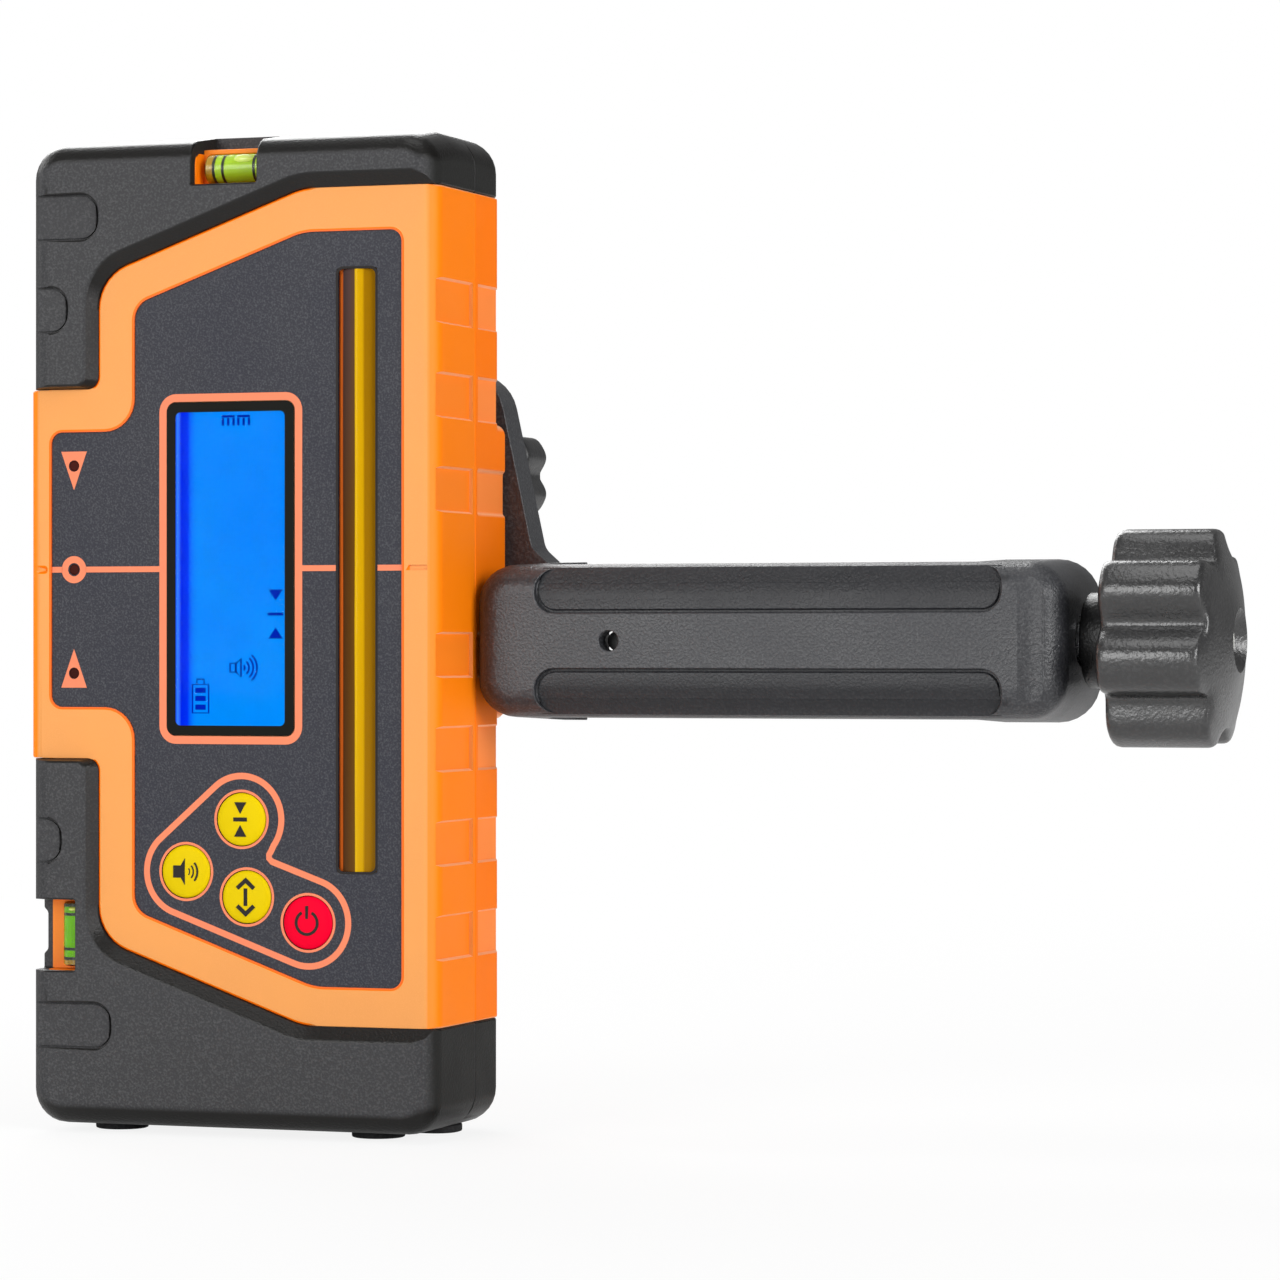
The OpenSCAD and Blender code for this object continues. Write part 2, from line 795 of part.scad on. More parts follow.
// Finger grooves of the bumpers' left side, each with a fine line round its floor
module finger_groove(z, length, y0, y1) {
    half = groove_h / 2;
    floor_y = groove_depth - bumper_lift;
    outline = box_outline(-far_x, z - half, length - half_w, z + half, groove_r);
    plate(y0, floor_y) polygon(outline);
    plate(y0, floor_y + groove_line_depth) difference() {
        polygon(outline);
        polygon(box_outline(-far_x - over, z + groove_line - half, length - half_w - groove_line,
                            z + half - groove_line, groove_r - groove_line));
    }
    side_groove(z, y0, y1);
}
module side_groove(z, y0, y1) {
    half = groove_h / 2;
    translate([-half_w, 0, z]) plate(y0, y1) polygon([
        [groove_depth, groove_depth - half], [groove_depth, half - groove_depth],
        [-groove_depth, half + groove_depth], [-groove_depth, -half - groove_depth]
    ]);
}

// Room for the two level vials, grown by a wall where asked
module top_notch(grow = 0) {
    block([-top_notch_x - notch_w / 2 - grow, -reach, top_notch_floor - grow],
          [-top_notch_x + notch_w / 2 + grow, notch_y + grow, head_h + reach]);
}
module side_notch(edge, grow = 0) {
    block([-far_x, -reach, -side_vial_down - notch_w / 2 - grow],
          [-edge + grow, notch_y + grow, -side_vial_down + notch_w / 2 + grow]);
}
side_pocket_edge = side_vial_x - side_seat_in;

// Opening in the lower bumper for the side vial, with a ledge left of the vial's seat
module side_window() {
    low = -side_vial_down - notch_w / 2;
    block([-far_x, -reach, low], [-side_notch_edge, side_ledge_y, low + notch_w]);
    block([-side_vial_x - side_seat_out - seat_gap, -reach, low], [-side_notch_edge, notch_y, low + notch_w]);
}

// Ring of the gasket between the halves
module gasket_ring(grow, y0, y1) {
    mid = skin + shell_wall / 2;
    plate(y0, y1) difference() {
        polygon(rounded(inset(body_pts(0), all_round(body_pts(0), mid - gasket_w / 2 - grow))));
        polygon(rounded(inset(body_pts(0), all_round(body_pts(0), mid + gasket_w / 2 + grow))));
    }
}

// Openings in the front wall and panel
module screen_opening(margin, r) {
    polygon(box_outline(screen_x - screen_w / 2 - margin, -screen_h / 2 - margin,
                        screen_x + screen_w / 2 + margin, screen_h / 2 + margin, r));
}
module sensor_opening(margin) {
    polygon(box_outline(sensor_x - sensor_w / 2 - margin, -sensor_h / 2 - sensor_drop - margin,
                        sensor_x + sensor_w / 2 + margin, sensor_h / 2 - sensor_drop + margin, sensor_r));
}
led_places = [[-led_x, led_pitch], [-led_x, 0], [-led_x, -led_pitch]];
module front_holes(y0, y1) {
    plate(y0, y1) sensor_opening(seam);
    each_place(led_places) bar_y(led_d / 2 + run, y0, y1);
    each_place(key_places) bar_y(key_r + key_gap, y0, y1);
}

module front_shell() {
    color(orange) difference() {
        union() {
            difference() {
                union() {
                    front_core();
                    intersection() {
                        loft(front_round(0, front_depth, edge_r, 0, waist_lift));
                        plate(-over, front_depth + over) polygon(rounded(shell_zone));
                    }
                }
                loft(front_round(cavity_y, front_depth + over, cavity_r, skin + shell_wall));
            }
            intersection() {
                front_core();
                union() {
                    top_notch(vial_wall);
                    side_notch(side_pocket_edge, vial_wall);
                }
            }
            each_place(boss_places) bar_y(boss_r, cavity_y - front_wall / 2, front_depth);
            each_place(board_fixings) bar_y(standoff_r, cavity_y - front_wall / 2, board_y);
            each_place(strip_posts) bar_y(post_r, cavity_y - front_wall / 2, board_y);
        }
        plate(-over, recess_y) polygon(rounded(panel_pts));
        plate(-over, cavity_y + over) screen_opening(0, screen_r);
        front_holes(-over, cavity_y + over);
        top_notch();
        side_notch(side_pocket_edge);
        grip_cuts(-over, front_depth - rib_margin);
        each_place(boss_places) bar_y(screw_r + fit, front_depth - screw_bite - over, front_depth + over);
        each_place(board_fixings)
            bar_y(board_screw_r + fit, board_y - board_screw_len + board_t - slip, board_y + over);
        gasket_ring(fit, front_depth - gasket_t / 2, front_depth + over);
        block([-far_x, -over, -mark_h / 2], [mark_len - half_w - waist_lift, mark_depth, mark_h / 2]);
        block([half_w - mark_margin - mark_len, -over, -mark_h / 2],
              [half_w - mark_margin, mark_depth, mark_h / 2]);
    }
}

// Posts that carry the photodiode board's ends
strip_half = sensor_h / 2 + strip_margin + post_r;
strip_posts = [for (s = [-1, 1]) [sensor_x, s * (strip_half - post_r) - sensor_drop]];

module rear_shell() {
    color(orange) difference() {
        union() {
            difference() {
                union() {
                    rear_core();
                    intersection() {
                        loft(rear_round(front_depth, rear_y, edge_r, 0, waist_lift));
                        plate(front_depth - over, rear_y + over) polygon(rounded(rear_zone));
                    }
                    bulge();
                }
                loft(rear_round(front_depth - over, cavity_rear_y, cavity_r, skin + shell_wall));
                bulge_hollow();
            }
            each_place(boss_places) bar_y(boss_r, front_depth, core_rear_y - core_r / 2);
            tray_box();
            translate([stud_x, 0, stud_up])
                bar_y(insert_boss_r, bulge_y - insert_len - insert_sink - shell_wall, bulge_y - over);
        }
        tray_room();
        door_room();
        translate([stud_x, 0, stud_up]) {
            bar_y(insert_r + fit, bulge_y - insert_len - insert_sink, bulge_y - insert_sink);
            bar_y(stud_r + slip, bulge_y - insert_len - insert_sink, bulge_y + over);
        }
        each_place(boss_places) {
            bar_y(screw_r + slip, front_depth - over, rear_y + over);
            bar_y(screw_head_r + slip, rear_y - head_sink - screw_head_t, rear_y + reach);
        }
        grip_cuts(front_depth + rib_margin, bulge_y + over);
        gasket_ring(fit, front_depth - over, front_depth + gasket_t / 2);
        for (i = [-1 : 1]) translate([buzzer_x, 0, buzzer_up + i * slot_pitch])
            plate(cavity_rear_y - over, rear_y + over)
                polygon(box_outline(-slot_len / 2, -slot_w / 2, slot_len / 2, slot_w / 2, slot_w / 2 - fit));
    }
}

// Raised middle of the rear shell, and the hollow inside it
bulge_chamfer = 2.2;
module bulge() {
    pts = box_pts(-half_w, -bulge_down, half_w, bulge_up, core_r);
    loft([
        [rear_y - edge_r - core_r, rounded(pts)],
        [bulge_y - bulge_chamfer, rounded(pts)],
        [bulge_y, rounded(inset(pts, all_round(pts, bulge_chamfer)))]
    ]);
}
module bulge_hollow() {
    wall = skin + shell_wall;
    plate(cavity_rear_y - over, bulge_y - wall / 2) polygon(
        box_outline(wall - half_w, wall - bulge_down, half_w - wall, bulge_up - wall, cavity_r));
}

// Battery tray with the frame of its door, and what is cut out of them
module tray_box() {
    block([-tray_half - tray_wall, tray_y - tray_wall, -tray_foot - tray_wall],
          [tray_half + tray_wall, ledge_y, tray_wall - tray_down]);
    intersection() {
        rear_core();
        block([-door_half - door_rim / 2, ledge_y - frame_back, hinge_z - hinge_r - hinge_room - tray_wall],
              [door_half + door_rim / 2, rear_y, door_gap - door_top + over]);
    }
    hinge_lugs();
}
module tray_room() {
    block([-tray_half, tray_y, -tray_foot], [tray_half, rear_y + reach, -tray_down]);
}
module hinge_lugs() {
    for (s = [-1, 1]) translate([s * (knuckle_w / 2 + slip + lug_w / 2), hinge_y, hinge_z]) {
        bar_x(lug_r, -lug_w / 2, lug_w / 2);
        block([-lug_w / 2, ledge_y - frame_back - hinge_y, -lug_r], [lug_w / 2, 0, lug_r]);
    }
}
module door_room() {
    difference() {
        plate(ledge_y, rear_y + reach) polygon(box_outline(
            -door_half - door_gap, hinge_z - hinge_r - hinge_room,
            door_half + door_gap, door_gap - door_top, core_r));
        hinge_lugs();
    }
    translate([0, hinge_y, hinge_z]) {
        bar_x(hinge_r + hinge_room, -knuckle_w / 2 - slip, knuckle_w / 2 + slip);
        bar_x(hinge_pin_r + fit, -hinge_half, hinge_half);
    }
}
hinge_half = knuckle_w / 2 + slip + lug_w;

// One bumper of the front half: a region of the raised slab, less the core it lies on
module front_bumper(zone, slopes) {
    gaps = [for (s = slopes) s > 0 ? seam : 0];
    difference() {
        intersection() {
            loft(front_round(-bumper_lift, front_depth, bumper_edge_r, 0, 0, crown));
            loft([
                [-bumper_lift - seam, rounded(inset(zone, slopes))],
                [0, rounded(inset(zone, gaps))],
                [front_depth + over, rounded(inset(zone, gaps))]
            ]);
        }
        front_core(fit);
        gasket_ring(fit, front_depth - gasket_t, front_depth + over);
    }
}
module rear_bumper(zone) {
    gaps = [for (p = zone) seam];
    difference() {
        intersection() {
            loft(rear_round(front_depth, rear_y + rear_lift, bumper_edge_r, 0, 0, crown));
            plate(front_depth - over, rear_y + rear_lift + over) polygon(rounded(inset(zone, gaps)));
        }
        rear_core(fit);
        each_place(boss_places) bar_y(screw_head_r + slip, front_depth, rear_y + reach);
    }
}

module top_bumper_front() {
    color(charcoal) difference() {
        front_bumper(top_zone, top_slopes);
        top_notch();
        for (i = [0, 1]) finger_groove(grooves_up[i], groove_reaches[i], -reach, front_depth - rib_margin);
    }
}
module bottom_bumper_front() {
    color(charcoal) difference() {
        front_bumper(bottom_zone, bottom_slopes);
        side_window();
        side_groove(grooves_down[1], -reach, front_depth - rib_margin);
        finger_groove(grooves_down[2], groove_reaches[2], -reach, front_depth - rib_margin);
        finger_groove(grooves_down[0], groove_reaches[3], -reach, front_depth - rib_margin);
    }
}
module top_bumper_rear() {
    color(charcoal) difference() {
        rear_bumper(rear_top_zone);
        for (z = grooves_up) side_groove(z, front_depth + rib_margin, rear_y + reach);
    }
}
module bottom_bumper_rear() {
    color(charcoal) difference() {
        rear_bumper(rear_bottom_zone);
        for (z = grooves_down) side_groove(z, front_depth + rib_margin, rear_y + reach);
        plate(front_depth, rear_y + reach) polygon(box_outline(
            -door_half - door_gap - slip, hinge_z - hinge_r - hinge_room - slip,
            door_half + door_gap + slip, door_gap - door_top, core_r));
    }
}

module shell_gasket() {
    color(black) gasket_ring(0, front_depth - gasket_t / 2 + fit, front_depth + gasket_t / 2 - fit);
}

module shell_screws() {
    seat = rear_y - head_sink - screw_head_t;
    color(steel) each_place(boss_places) difference() {
        union() {
            bar_y(screw_head_r, seat, seat + screw_head_t);
            bar_y(screw_r, front_depth - screw_bite, seat + screw_head_t / 2);
        }
        cross_recess(screw_head_r, seat + screw_head_t);
    }
}

module base_feet() {
    color(black) for (p = foot_places) translate(p) bar_z(foot_r, -base_h - foot_t, -base_h);
    color(black) for (s = [-1, 1])
        slice(-base_h - foot_t, -base_h) translate([s * rear_foot_x, rear_foot_y]) polygon(box_outline(
            -rear_foot_w / 2, -foot_r, rear_foot_w / 2, foot_r, rear_foot_corner));
}

module front_panel() {
    color(panel_grey) difference() {
        plate(panel_sink, recess_y) polygon(rounded(inset(panel_pts, all_round(panel_pts, seam))));
        plate(-over, recess_y + over) screen_opening(lens_margin + fit, lens_r);
        front_holes(-over, recess_y + over);
    }
}

module screen_lens() {
    color("#20262B") plate(panel_sink, recess_y) screen_opening(lens_margin, lens_r);
}

module lcd_glass() {
    color("#0080FF") union() {
        plate(lcd_y, backlight_y) screen_opening(lcd_margin, screen_r);
        plate(recess_y + seam, lcd_y + seam) screen_opening(-seam, screen_r);
    }
}

module lcd_backlight() {
    color("white") plate(backlight_y, board_y) screen_opening(lcd_margin, screen_r);
}

module sensor_window() {
    top = sensor_h / 2 - sensor_drop;
    bottom = -sensor_h / 2 - sensor_drop;
    half = sensor_w / 2;
    color("#C98A1E") union() {
        slice(bottom, top) translate([sensor_x, 0]) polygon([
            [-half, cavity_y + fit], [-half, panel_sink + sensor_ridge], [-seam, panel_sink],
            [seam, panel_sink], [half, panel_sink + sensor_ridge], [half, cavity_y + fit]
        ]);
        plate(cavity_y + fit, cavity_y + fit + sensor_flange_t) sensor_opening(sensor_flange);
    }
}

module photodiode_board() {
    color(board_green) plate(board_y, board_y + board_t) polygon(box_outline(
        sensor_x - strip_w / 2, -strip_half - sensor_drop,
        sensor_x + strip_w / 2, strip_half - sensor_drop, board_corner_r));
}

module photodiodes() {
    step = sensor_h / diode_count;
    color(black) for (i = [0 : diode_count - 1])
        translate([sensor_x, 0, (i + 0.5) * step - sensor_h / 2 - sensor_drop])
            block([-diode_w / 2, board_y - diode_t, -diode_h / 2], [diode_w / 2, board_y, diode_h / 2]);
}

module main_board() {
    wing = board_wing_h / 2;
    r = board_corner_r;
    color(board_green) difference() {
        plate(board_y, board_y + board_t) polygon(rounded([
            [-board_left, -board_down, r], [board_right, -board_down, r], [board_right, board_up, r],
            [-board_left, board_up, r], [-board_left, wing, r], [-board_wing, wing, r],
            [-board_wing, -wing, r], [-board_left, -wing, r]
        ]));
        each_place(board_fixings) bar_y(board_screw_r + slip, board_y - over, board_y + board_t + over);
    }
}

module board_screws() {
    back = board_y + board_t;
    color(steel) each_place(board_fixings) difference() {
        union() {
            bar_y(board_head_r, back, back + board_head_t);
            bar_y(board_screw_r, back - board_screw_len, back + board_head_t / 2);
        }
        cross_recess(board_head_r, back + board_head_t);
    }
}

module key_switches() {
    half = switch_w / 2;
    color(black) each_place(key_places) {
        block([-half, board_y - switch_t, -half], [half, board_y, half]);
        bar_y(plunger_r, plunger_y, board_y - switch_t / 2);
    }
}

module indicator_lenses() {
    color("#5A1412") each_place(led_places) {
        bar_y(led_d / 2, panel_sink + seam, cavity_y + fit + lens_flange_t / 2);
        bar_y(led_d / 2 + lens_flange, cavity_y + fit, cavity_y + fit + lens_flange_t);
    }
}

module indicator_leds() {
    color("#E03020") each_place(led_places) {
        bar_y(led_r, board_y - led_t + led_r, board_y);
        translate([0, board_y - led_t + led_r, 0]) sphere(led_r);
    }
}

module buzzer() {
    color(black) translate([buzzer_x, 0, buzzer_up]) difference() {
        bar_y(buzzer_r, board_y + board_t, board_y + board_t + buzzer_t);
        bar_y(buzzer_port_r, board_y + board_t + buzzer_t / 2, board_y + board_t + buzzer_t + over);
    }
}

// A key: crowned cap, flange behind the wall and a stem over its switch
module push_key(i, tint) {
    face = panel_sink - key_proud;
    flange_y = cavity_y + slip;
    place = key_places[i];
    color(tint) translate([place[0], 0, place[1]]) rotate([-90, 0, 0]) rotate_extrude() polygon([
        for (s = key_crown_shares) [key_r * s[0], face + key_crown * s[1]],
        [key_r, flange_y], [key_r + key_flange, flange_y],
        [key_r + key_flange, flange_y + key_flange_t], [key_stem_r, flange_y + key_flange_t],
        [key_stem_r, key_stem_y], [0, key_stem_y]
    ]);
}
module key_accuracy() { push_key(0, "#F2CC0D"); }
module key_sound() { push_key(1, "#F2CC0D"); }
module key_units() { push_key(2, "#F2CC0D"); }
module key_power() { push_key(3, "#F0324A"); }

module top_vial() {
    color("#B9D63A") translate([top_vial_x, vial_y, top_vial_up]) bar_x(vial_r, -vial_len / 2, vial_len / 2);
}
module top_vial_seat() {
    color(orange) difference() {
        block([-top_notch_x - notch_w / 2 + seat_gap, vial_y, top_notch_floor + seat_gap],
              [-top_notch_x + notch_w / 2 - seat_gap, vial_y + seat_depth, top_vial_up + vial_r + seat_rim]);
        translate([top_vial_x, vial_y, top_vial_up])
            bar_x(vial_r + run, -vial_len / 2 - run, vial_len / 2 + run);
    }
}
module side_vial() {
    color("#58C83C") translate([-side_vial_x, vial_y, -side_vial_down])
        bar_z(vial_r, -vial_len / 2, vial_len / 2);
}
module side_vial_seat() {
    half = notch_w / 2 - seat_gap;
    color(orange) translate([-side_vial_x, vial_y, -side_vial_down]) difference() {
        block([-side_seat_out, 0, -half], [side_seat_in - seat_gap, seat_depth, half]);
        bar_z(vial_r + run, -vial_len / 2 - run, vial_len / 2 + run);
    }
}

// Two cells side by side, one of them upside down
module battery_cells() {
    top = -tray_down - contact_t - seam;
    color("#3C6E9E") for (s = [-1, 1])
        translate([s * (cell_r + cell_gap), cell_y, top - cell_len / 2]) rotate([s > 0 ? 180 : 0, 0, 0]) {
            bar_z(cell_r, -cell_len / 2, cell_len / 2 - nub_h);
            bar_z(nub_r, 0, cell_len / 2);
        }
}

// Contact plates at the tray's ends, with sprung blades under the cells
module battery_contacts() {
    half = contact_w / 2;
    top = -tray_down - seam / 2;
    foot = -tray_foot + seam / 2;
    reach_x = cell_r + cell_gap;
    color(steel) {
        for (s = [-1, 1]) translate([s * reach_x, cell_y, 0])
            block([-half, -half, top - contact_t], [half, half, top]);
        translate([0, cell_y, 0]) {
            block([-reach_x - half, -half, foot], [reach_x + half, half, foot + contact_t]);
            for (s = [-1, 1]) translate([s * reach_x, half / 2, foot]) plate(-half, 0) polygon([
                [-half, 0], [contact_t - half, 0], [0, contact_rise - contact_t], [half - contact_t, 0],
                [half, 0], [contact_t / 2, contact_rise], [-contact_t / 2, contact_rise]
            ]);
        }
    }
}

// Battery door with its knuckle, thumb ribs at the top
module battery_door() {
    color(charcoal) difference() {
        union() {
            plate(door_y, rear_y) polygon(box_outline(
                -door_half, hinge_z + door_foot_rise, door_half, -door_top, core_r));
            translate([0, hinge_y, hinge_z]) bar_x(hinge_r, -knuckle_w / 2, knuckle_w / 2);
            block([-knuckle_w / 2, door_y, hinge_z],
                  [knuckle_w / 2, rear_y, hinge_z + door_foot_rise + core_r]);
        }
        translate([0, hinge_y, hinge_z]) bar_x(hinge_pin_r + run, -knuckle_w, knuckle_w);
        for (i = [0 : grip_count - 1])
            translate([0, 0, -door_top - grip_pitch * (i + 1.5)]) plate(rear_y - grip_depth, rear_y + over)
                polygon(box_outline(-grip_w / 2, -grip_h / 2, grip_w / 2, grip_h / 2, grip_h / 2 - fit));
    }
}
door_foot_rise = 2;

module door_seal() {
    margin = door_half - seal_margin;
    foot = seal_margin - tray_foot - door_rim;
    top = -door_top - seal_margin;
    color(black) plate(ledge_y + fit, door_y) difference() {
        polygon(box_outline(-margin, foot, margin, top, core_r));
        polygon(box_outline(seal_w - margin, foot + seal_w, margin - seal_w, top - seal_w, core_r));
    }
}

module door_hinge_pin() {
    color(steel) translate([0, hinge_y, hinge_z]) bar_x(hinge_pin_r, -hinge_half, hinge_half);
}

module clamp_insert() {
    color(brass) translate([stud_x, 0, stud_up]) difference() {
        bar_y(insert_r, bulge_y - insert_len - insert_sink, bulge_y - insert_sink);
        bar_y(stud_r + run, bulge_y - insert_len - over - insert_sink, bulge_y + over);
    }
}

// The arm's outer form, moved in by d at its front and around
function arm_ring(y, d, draft) = [y, rounded(inset(
    box_pts(arm_x, -arm_down, arm_end, arm_up, arm_r), [d - draft, d, d - draft, d]))];
function arm_rings(d) = concat(
    [for (a = [90 : -edge_angle : 0])
        arm_ring(arm_y + d + arm_edge_r * (1 - sin(a)), d + arm_edge_r * (1 - cos(a)), 0)],
    [arm_ring(frame_y, d, arm_draft)]
);

// Plan of the rod gap, open at the back, with the notch of the fixed jaw
module gap_plan() {
    polygon([
        [fixed_x, spine_y], [gap_end, spine_y], [gap_end, frame_y + over], [fixed_x, frame_y + over],
        [fixed_x, vee_y + vee_half], [fixed_x - vee_depth, vee_y], [fixed_x, vee_y - vee_half]
    ]);
}

tongue_pts = [
    [tongue_left, tongue_low, tongue_r], [arm_x, axis_z - tongue_foot, tongue_r],
    [tongue_right + tongue_fillet, axis_z - tongue_foot, least_r],
    [tongue_right + tongue_fillet, arm_up, least_r],
    [tongue_right - least_r, arm_up + tongue_fillet, tongue_fillet],
    [tongue_right - tongue_lean, tongue_up, tongue_r], [tongue_left, tongue_up, tongue_r]
];

module clamp_frame() {
    pocket_x0 = arm_x + pocket_left;
    pocket_x1 = arm_end - pocket_right;
    pockets = [arm_up - pocket_edge - pocket_h, pocket_edge - arm_down];
    color(black) difference() {
        union() {
            loft(arm_rings(pocket_depth));
            difference() {
                loft(arm_rings(0));
                for (z = pockets)
                    plate(arm_y - over, spine_y) polygon(
                        box_outline(pocket_x0, z, pocket_x1, z + pocket_h, pocket_r));
            }
            plate(bulge_y, frame_y) polygon(rounded(tongue_pts));
        }
        for (z = pockets) plate(arm_y - over, arm_y + pocket_depth + pocket_line_depth) difference() {
            polygon(box_outline(pocket_x0, z, pocket_x1, z + pocket_h, pocket_r));
            polygon(box_outline(pocket_x0 + pocket_line, z + pocket_line, pocket_x1 - pocket_line,
                                z + pocket_h - pocket_line, pocket_r - pocket_line));
        }
        slice(-arm_down - reach, arm_up + reach) gap_plan();
        block([slot_start, spine_y - key_slot_depth, axis_z - key_slot_h / 2],
              [gap_end, spine_y + over, axis_z + key_slot_h / 2]);
        translate([stop_pin_x, 0, axis_z]) bar_y(stop_pin_r + fit, arm_y - over, spine_y);
        translate([0, screw_y, axis_z]) {
            bar_x(nut_r + fit, gap_end - over, gap_end + nut_len);
            bar_x(thread_r + slip, gap_end, arm_end + over);
        }
        translate([arm_end - valley_margin, arm_y + valley_depth - valley_r, 0])
            bar_z(valley_r, -arm_down - reach, arm_up + reach);
        translate([stud_x, 0, stud_up]) bar_y(stud_r + slip, bulge_y - over, frame_y + over);
        tongue_hollow();
    }
}

// Hollow in the back of the tongue, round the boss of its stud
module tongue_hollow() {
    plate(bulge_y + pocket_web, frame_y + over) difference() {
        polygon(rounded(inset(tongue_pts, all_round(tongue_pts, tongue_rim))));
        translate([stud_x, stud_up]) circle(tongue_boss_r);
        translate([arm_x - tongue_rim, -arm_h]) square([arm_len, arm_h + tongue_fillet]);
    }
}

module stop_pin() {
    color(steel) translate([stop_pin_x, 0, axis_z]) bar_y(stop_pin_r, arm_y + stop_pin_sink, spine_y - slip);
}

// Plan of a jaw pad whose back lies at x = 0, facing +X, with its notch
module pad_plan() {
    y0 = spine_y + slip;
    y1 = frame_y - jaw_trim;
    polygon([
        [0, y0], [pad_t, y0], [pad_t, vee_y - vee_half], [pad_t - vee_depth, vee_y],
        [pad_t, vee_y + vee_half], [pad_t, y1], [0, y1], [0, vee_y + vee_half],
        [-vee_depth, vee_y], [0, vee_y - vee_half]
    ]);
}

module fixed_jaw_pad() {
    color(pad_grey) slice(jaw_trim - arm_down, arm_up - jaw_trim)
        translate([fixed_x, 0]) pad_plan();
}
module moving_jaw_pad() {
    color(pad_grey) slice(jaw_trim - arm_down, arm_up - jaw_trim)
        translate([jaw_x, 0]) mirror([1, 0]) pad_plan();
}

module moving_jaw() {
    key_half = key_slot_h / 2 - slip;
    color(black) difference() {
        union() {
            slice(jaw_trim - arm_down, arm_up - jaw_trim) polygon([
                [jaw_x, spine_y + slip], [jaw_end, spine_y + slip], [jaw_end, frame_y - jaw_trim],
                [jaw_x, frame_y - jaw_trim], [jaw_x, vee_y + vee_half], [jaw_x + vee_depth, vee_y],
                [jaw_x, vee_y - vee_half]
            ]);
            block([guide_start, spine_y - key_slot_depth + slip, axis_z - key_half],
                  [jaw_end, spine_y - slip, axis_z + key_half]);
            block([jaw_x, spine_y - over, axis_z - key_half],
                  [jaw_end, spine_y + over, axis_z + key_half]);
        }
        translate([0, screw_y, axis_z]) bar_x(tip_r + run, jaw_end - tip_len - slip, jaw_end + over);
        translate([keeper_x, keeper_y, axis_z])
            bar_z(keeper_r + fit, -keeper_half - over, keeper_half + over);
    }
}

// The keeper pin crosses the neck of the screw's tip
keeper_x = jaw_end - tip_lead - tip_neck_w / 2;
keeper_y = screw_y + tip_neck_r + run + keeper_r;
module jaw_keeper() {
    color(steel) translate([keeper_x, keeper_y, axis_z]) bar_z(keeper_r, -keeper_half, keeper_half);
}

module clamp_nut() {
    color(brass) translate([0, screw_y, axis_z]) difference() {
        bar_x(nut_r, gap_end + fit, gap_end + nut_len);
        bar_x(thread_r + run, gap_end - over, gap_end + nut_len + over);
    }
}

module clamp_screw() {
    neck = jaw_end - tip_lead - tip_neck_w;
    color(steel) translate([0, screw_y, axis_z]) {
        bar_x(tip_r, jaw_end - tip_len, neck);
        bar_x(tip_neck_r, jaw_end - tip_len, jaw_end + slip);
        bar_x(tip_r, neck + tip_neck_w, jaw_end + slip);
        bar_x(thread_r, jaw_end + slip, knob_x + knob_screw_end);
    }
}

// A lobed knob along +Y: rings of the profile's shares, with hollows narrower than the lobes
function lobed(y, r, hollow, count) = [y, [
    for (k = [0 : count * lobe_steps - 1])
        let (a = 360 * k / (count * lobe_steps))
            (r - hollow * pow((1 - cos(count * a)) / 2, 2)) * [cos(a), sin(a)]
]];
module lobed_knob(length, r, hollow, count) {
    loft([for (s = knob_shares) lobed(s[0] * length, s[1] * r, s[2] * hollow, count)]);
}

module clamp_knob() {
    lobe_turn = 15.5;
    color(black) translate([knob_x, screw_y, axis_z]) difference() {
        union() {
            rotate([0, 0, -90]) rotate([0, lobe_turn, 0])
                lobed_knob(knob_len, knob_r, knob_hollow, knob_lobes);
            bar_x(hub_r, hub_gap - knob_gap, over);
        }
        bar_x(thread_r + fit, -knob_gap, knob_screw_end + fit);
        translate([knob_len - dimple_depth, 0, 0]) rotate([0, 90, 0])
            cylinder(r1 = dimple_floor_r, r2 = dimple_r, h = dimple_depth + fit);
        bar_x(end_shank_r + fit, knob_len - dimple_depth - end_screw_len, knob_len);
    }
}

module knob_end_screw() {
    seat = knob_len - dimple_depth;
    color(steel) translate([knob_x, screw_y, axis_z]) difference() {
        union() {
            bar_x(end_screw_r, seat + fit, seat + end_screw_t);
            bar_x(end_shank_r, seat - end_screw_len + fit, seat + end_screw_t / 2);
        }
        rotate([0, 0, -90]) cross_recess(end_screw_r, seat + end_screw_t);
    }
}

module bracket_washer() {
    color(steel) translate([stud_x, 0, stud_up]) difference() {
        bar_y(washer_r, frame_y + fit, frame_y + washer_t);
        bar_y(stud_r + run, frame_y - over, frame_y + washer_t + over);
    }
}

module bracket_stud() {
    color(steel) translate([stud_x, 0, stud_up])
        bar_y(stud_r, bulge_y - insert_sink - stud_bite, frame_y + washer_t + stud_grip);
}

module bracket_knob() {
    small_hollow = knob_hollow * small_knob_r / knob_r;
    color(black) translate([stud_x, frame_y + washer_t + seam, stud_up]) difference() {
        rotate([0, 180 / small_knob_lobes, 0])
            lobed_knob(small_knob_len, small_knob_r, small_hollow, small_knob_lobes);
        bar_y(stud_r + fit, -over, stud_grip - seam + fit);
    }
}

// Moves a piece from the on-grade mark to the rod gap's origin
module placed() {
    translate([-rod_x, -rod_y, 0]) children();
}

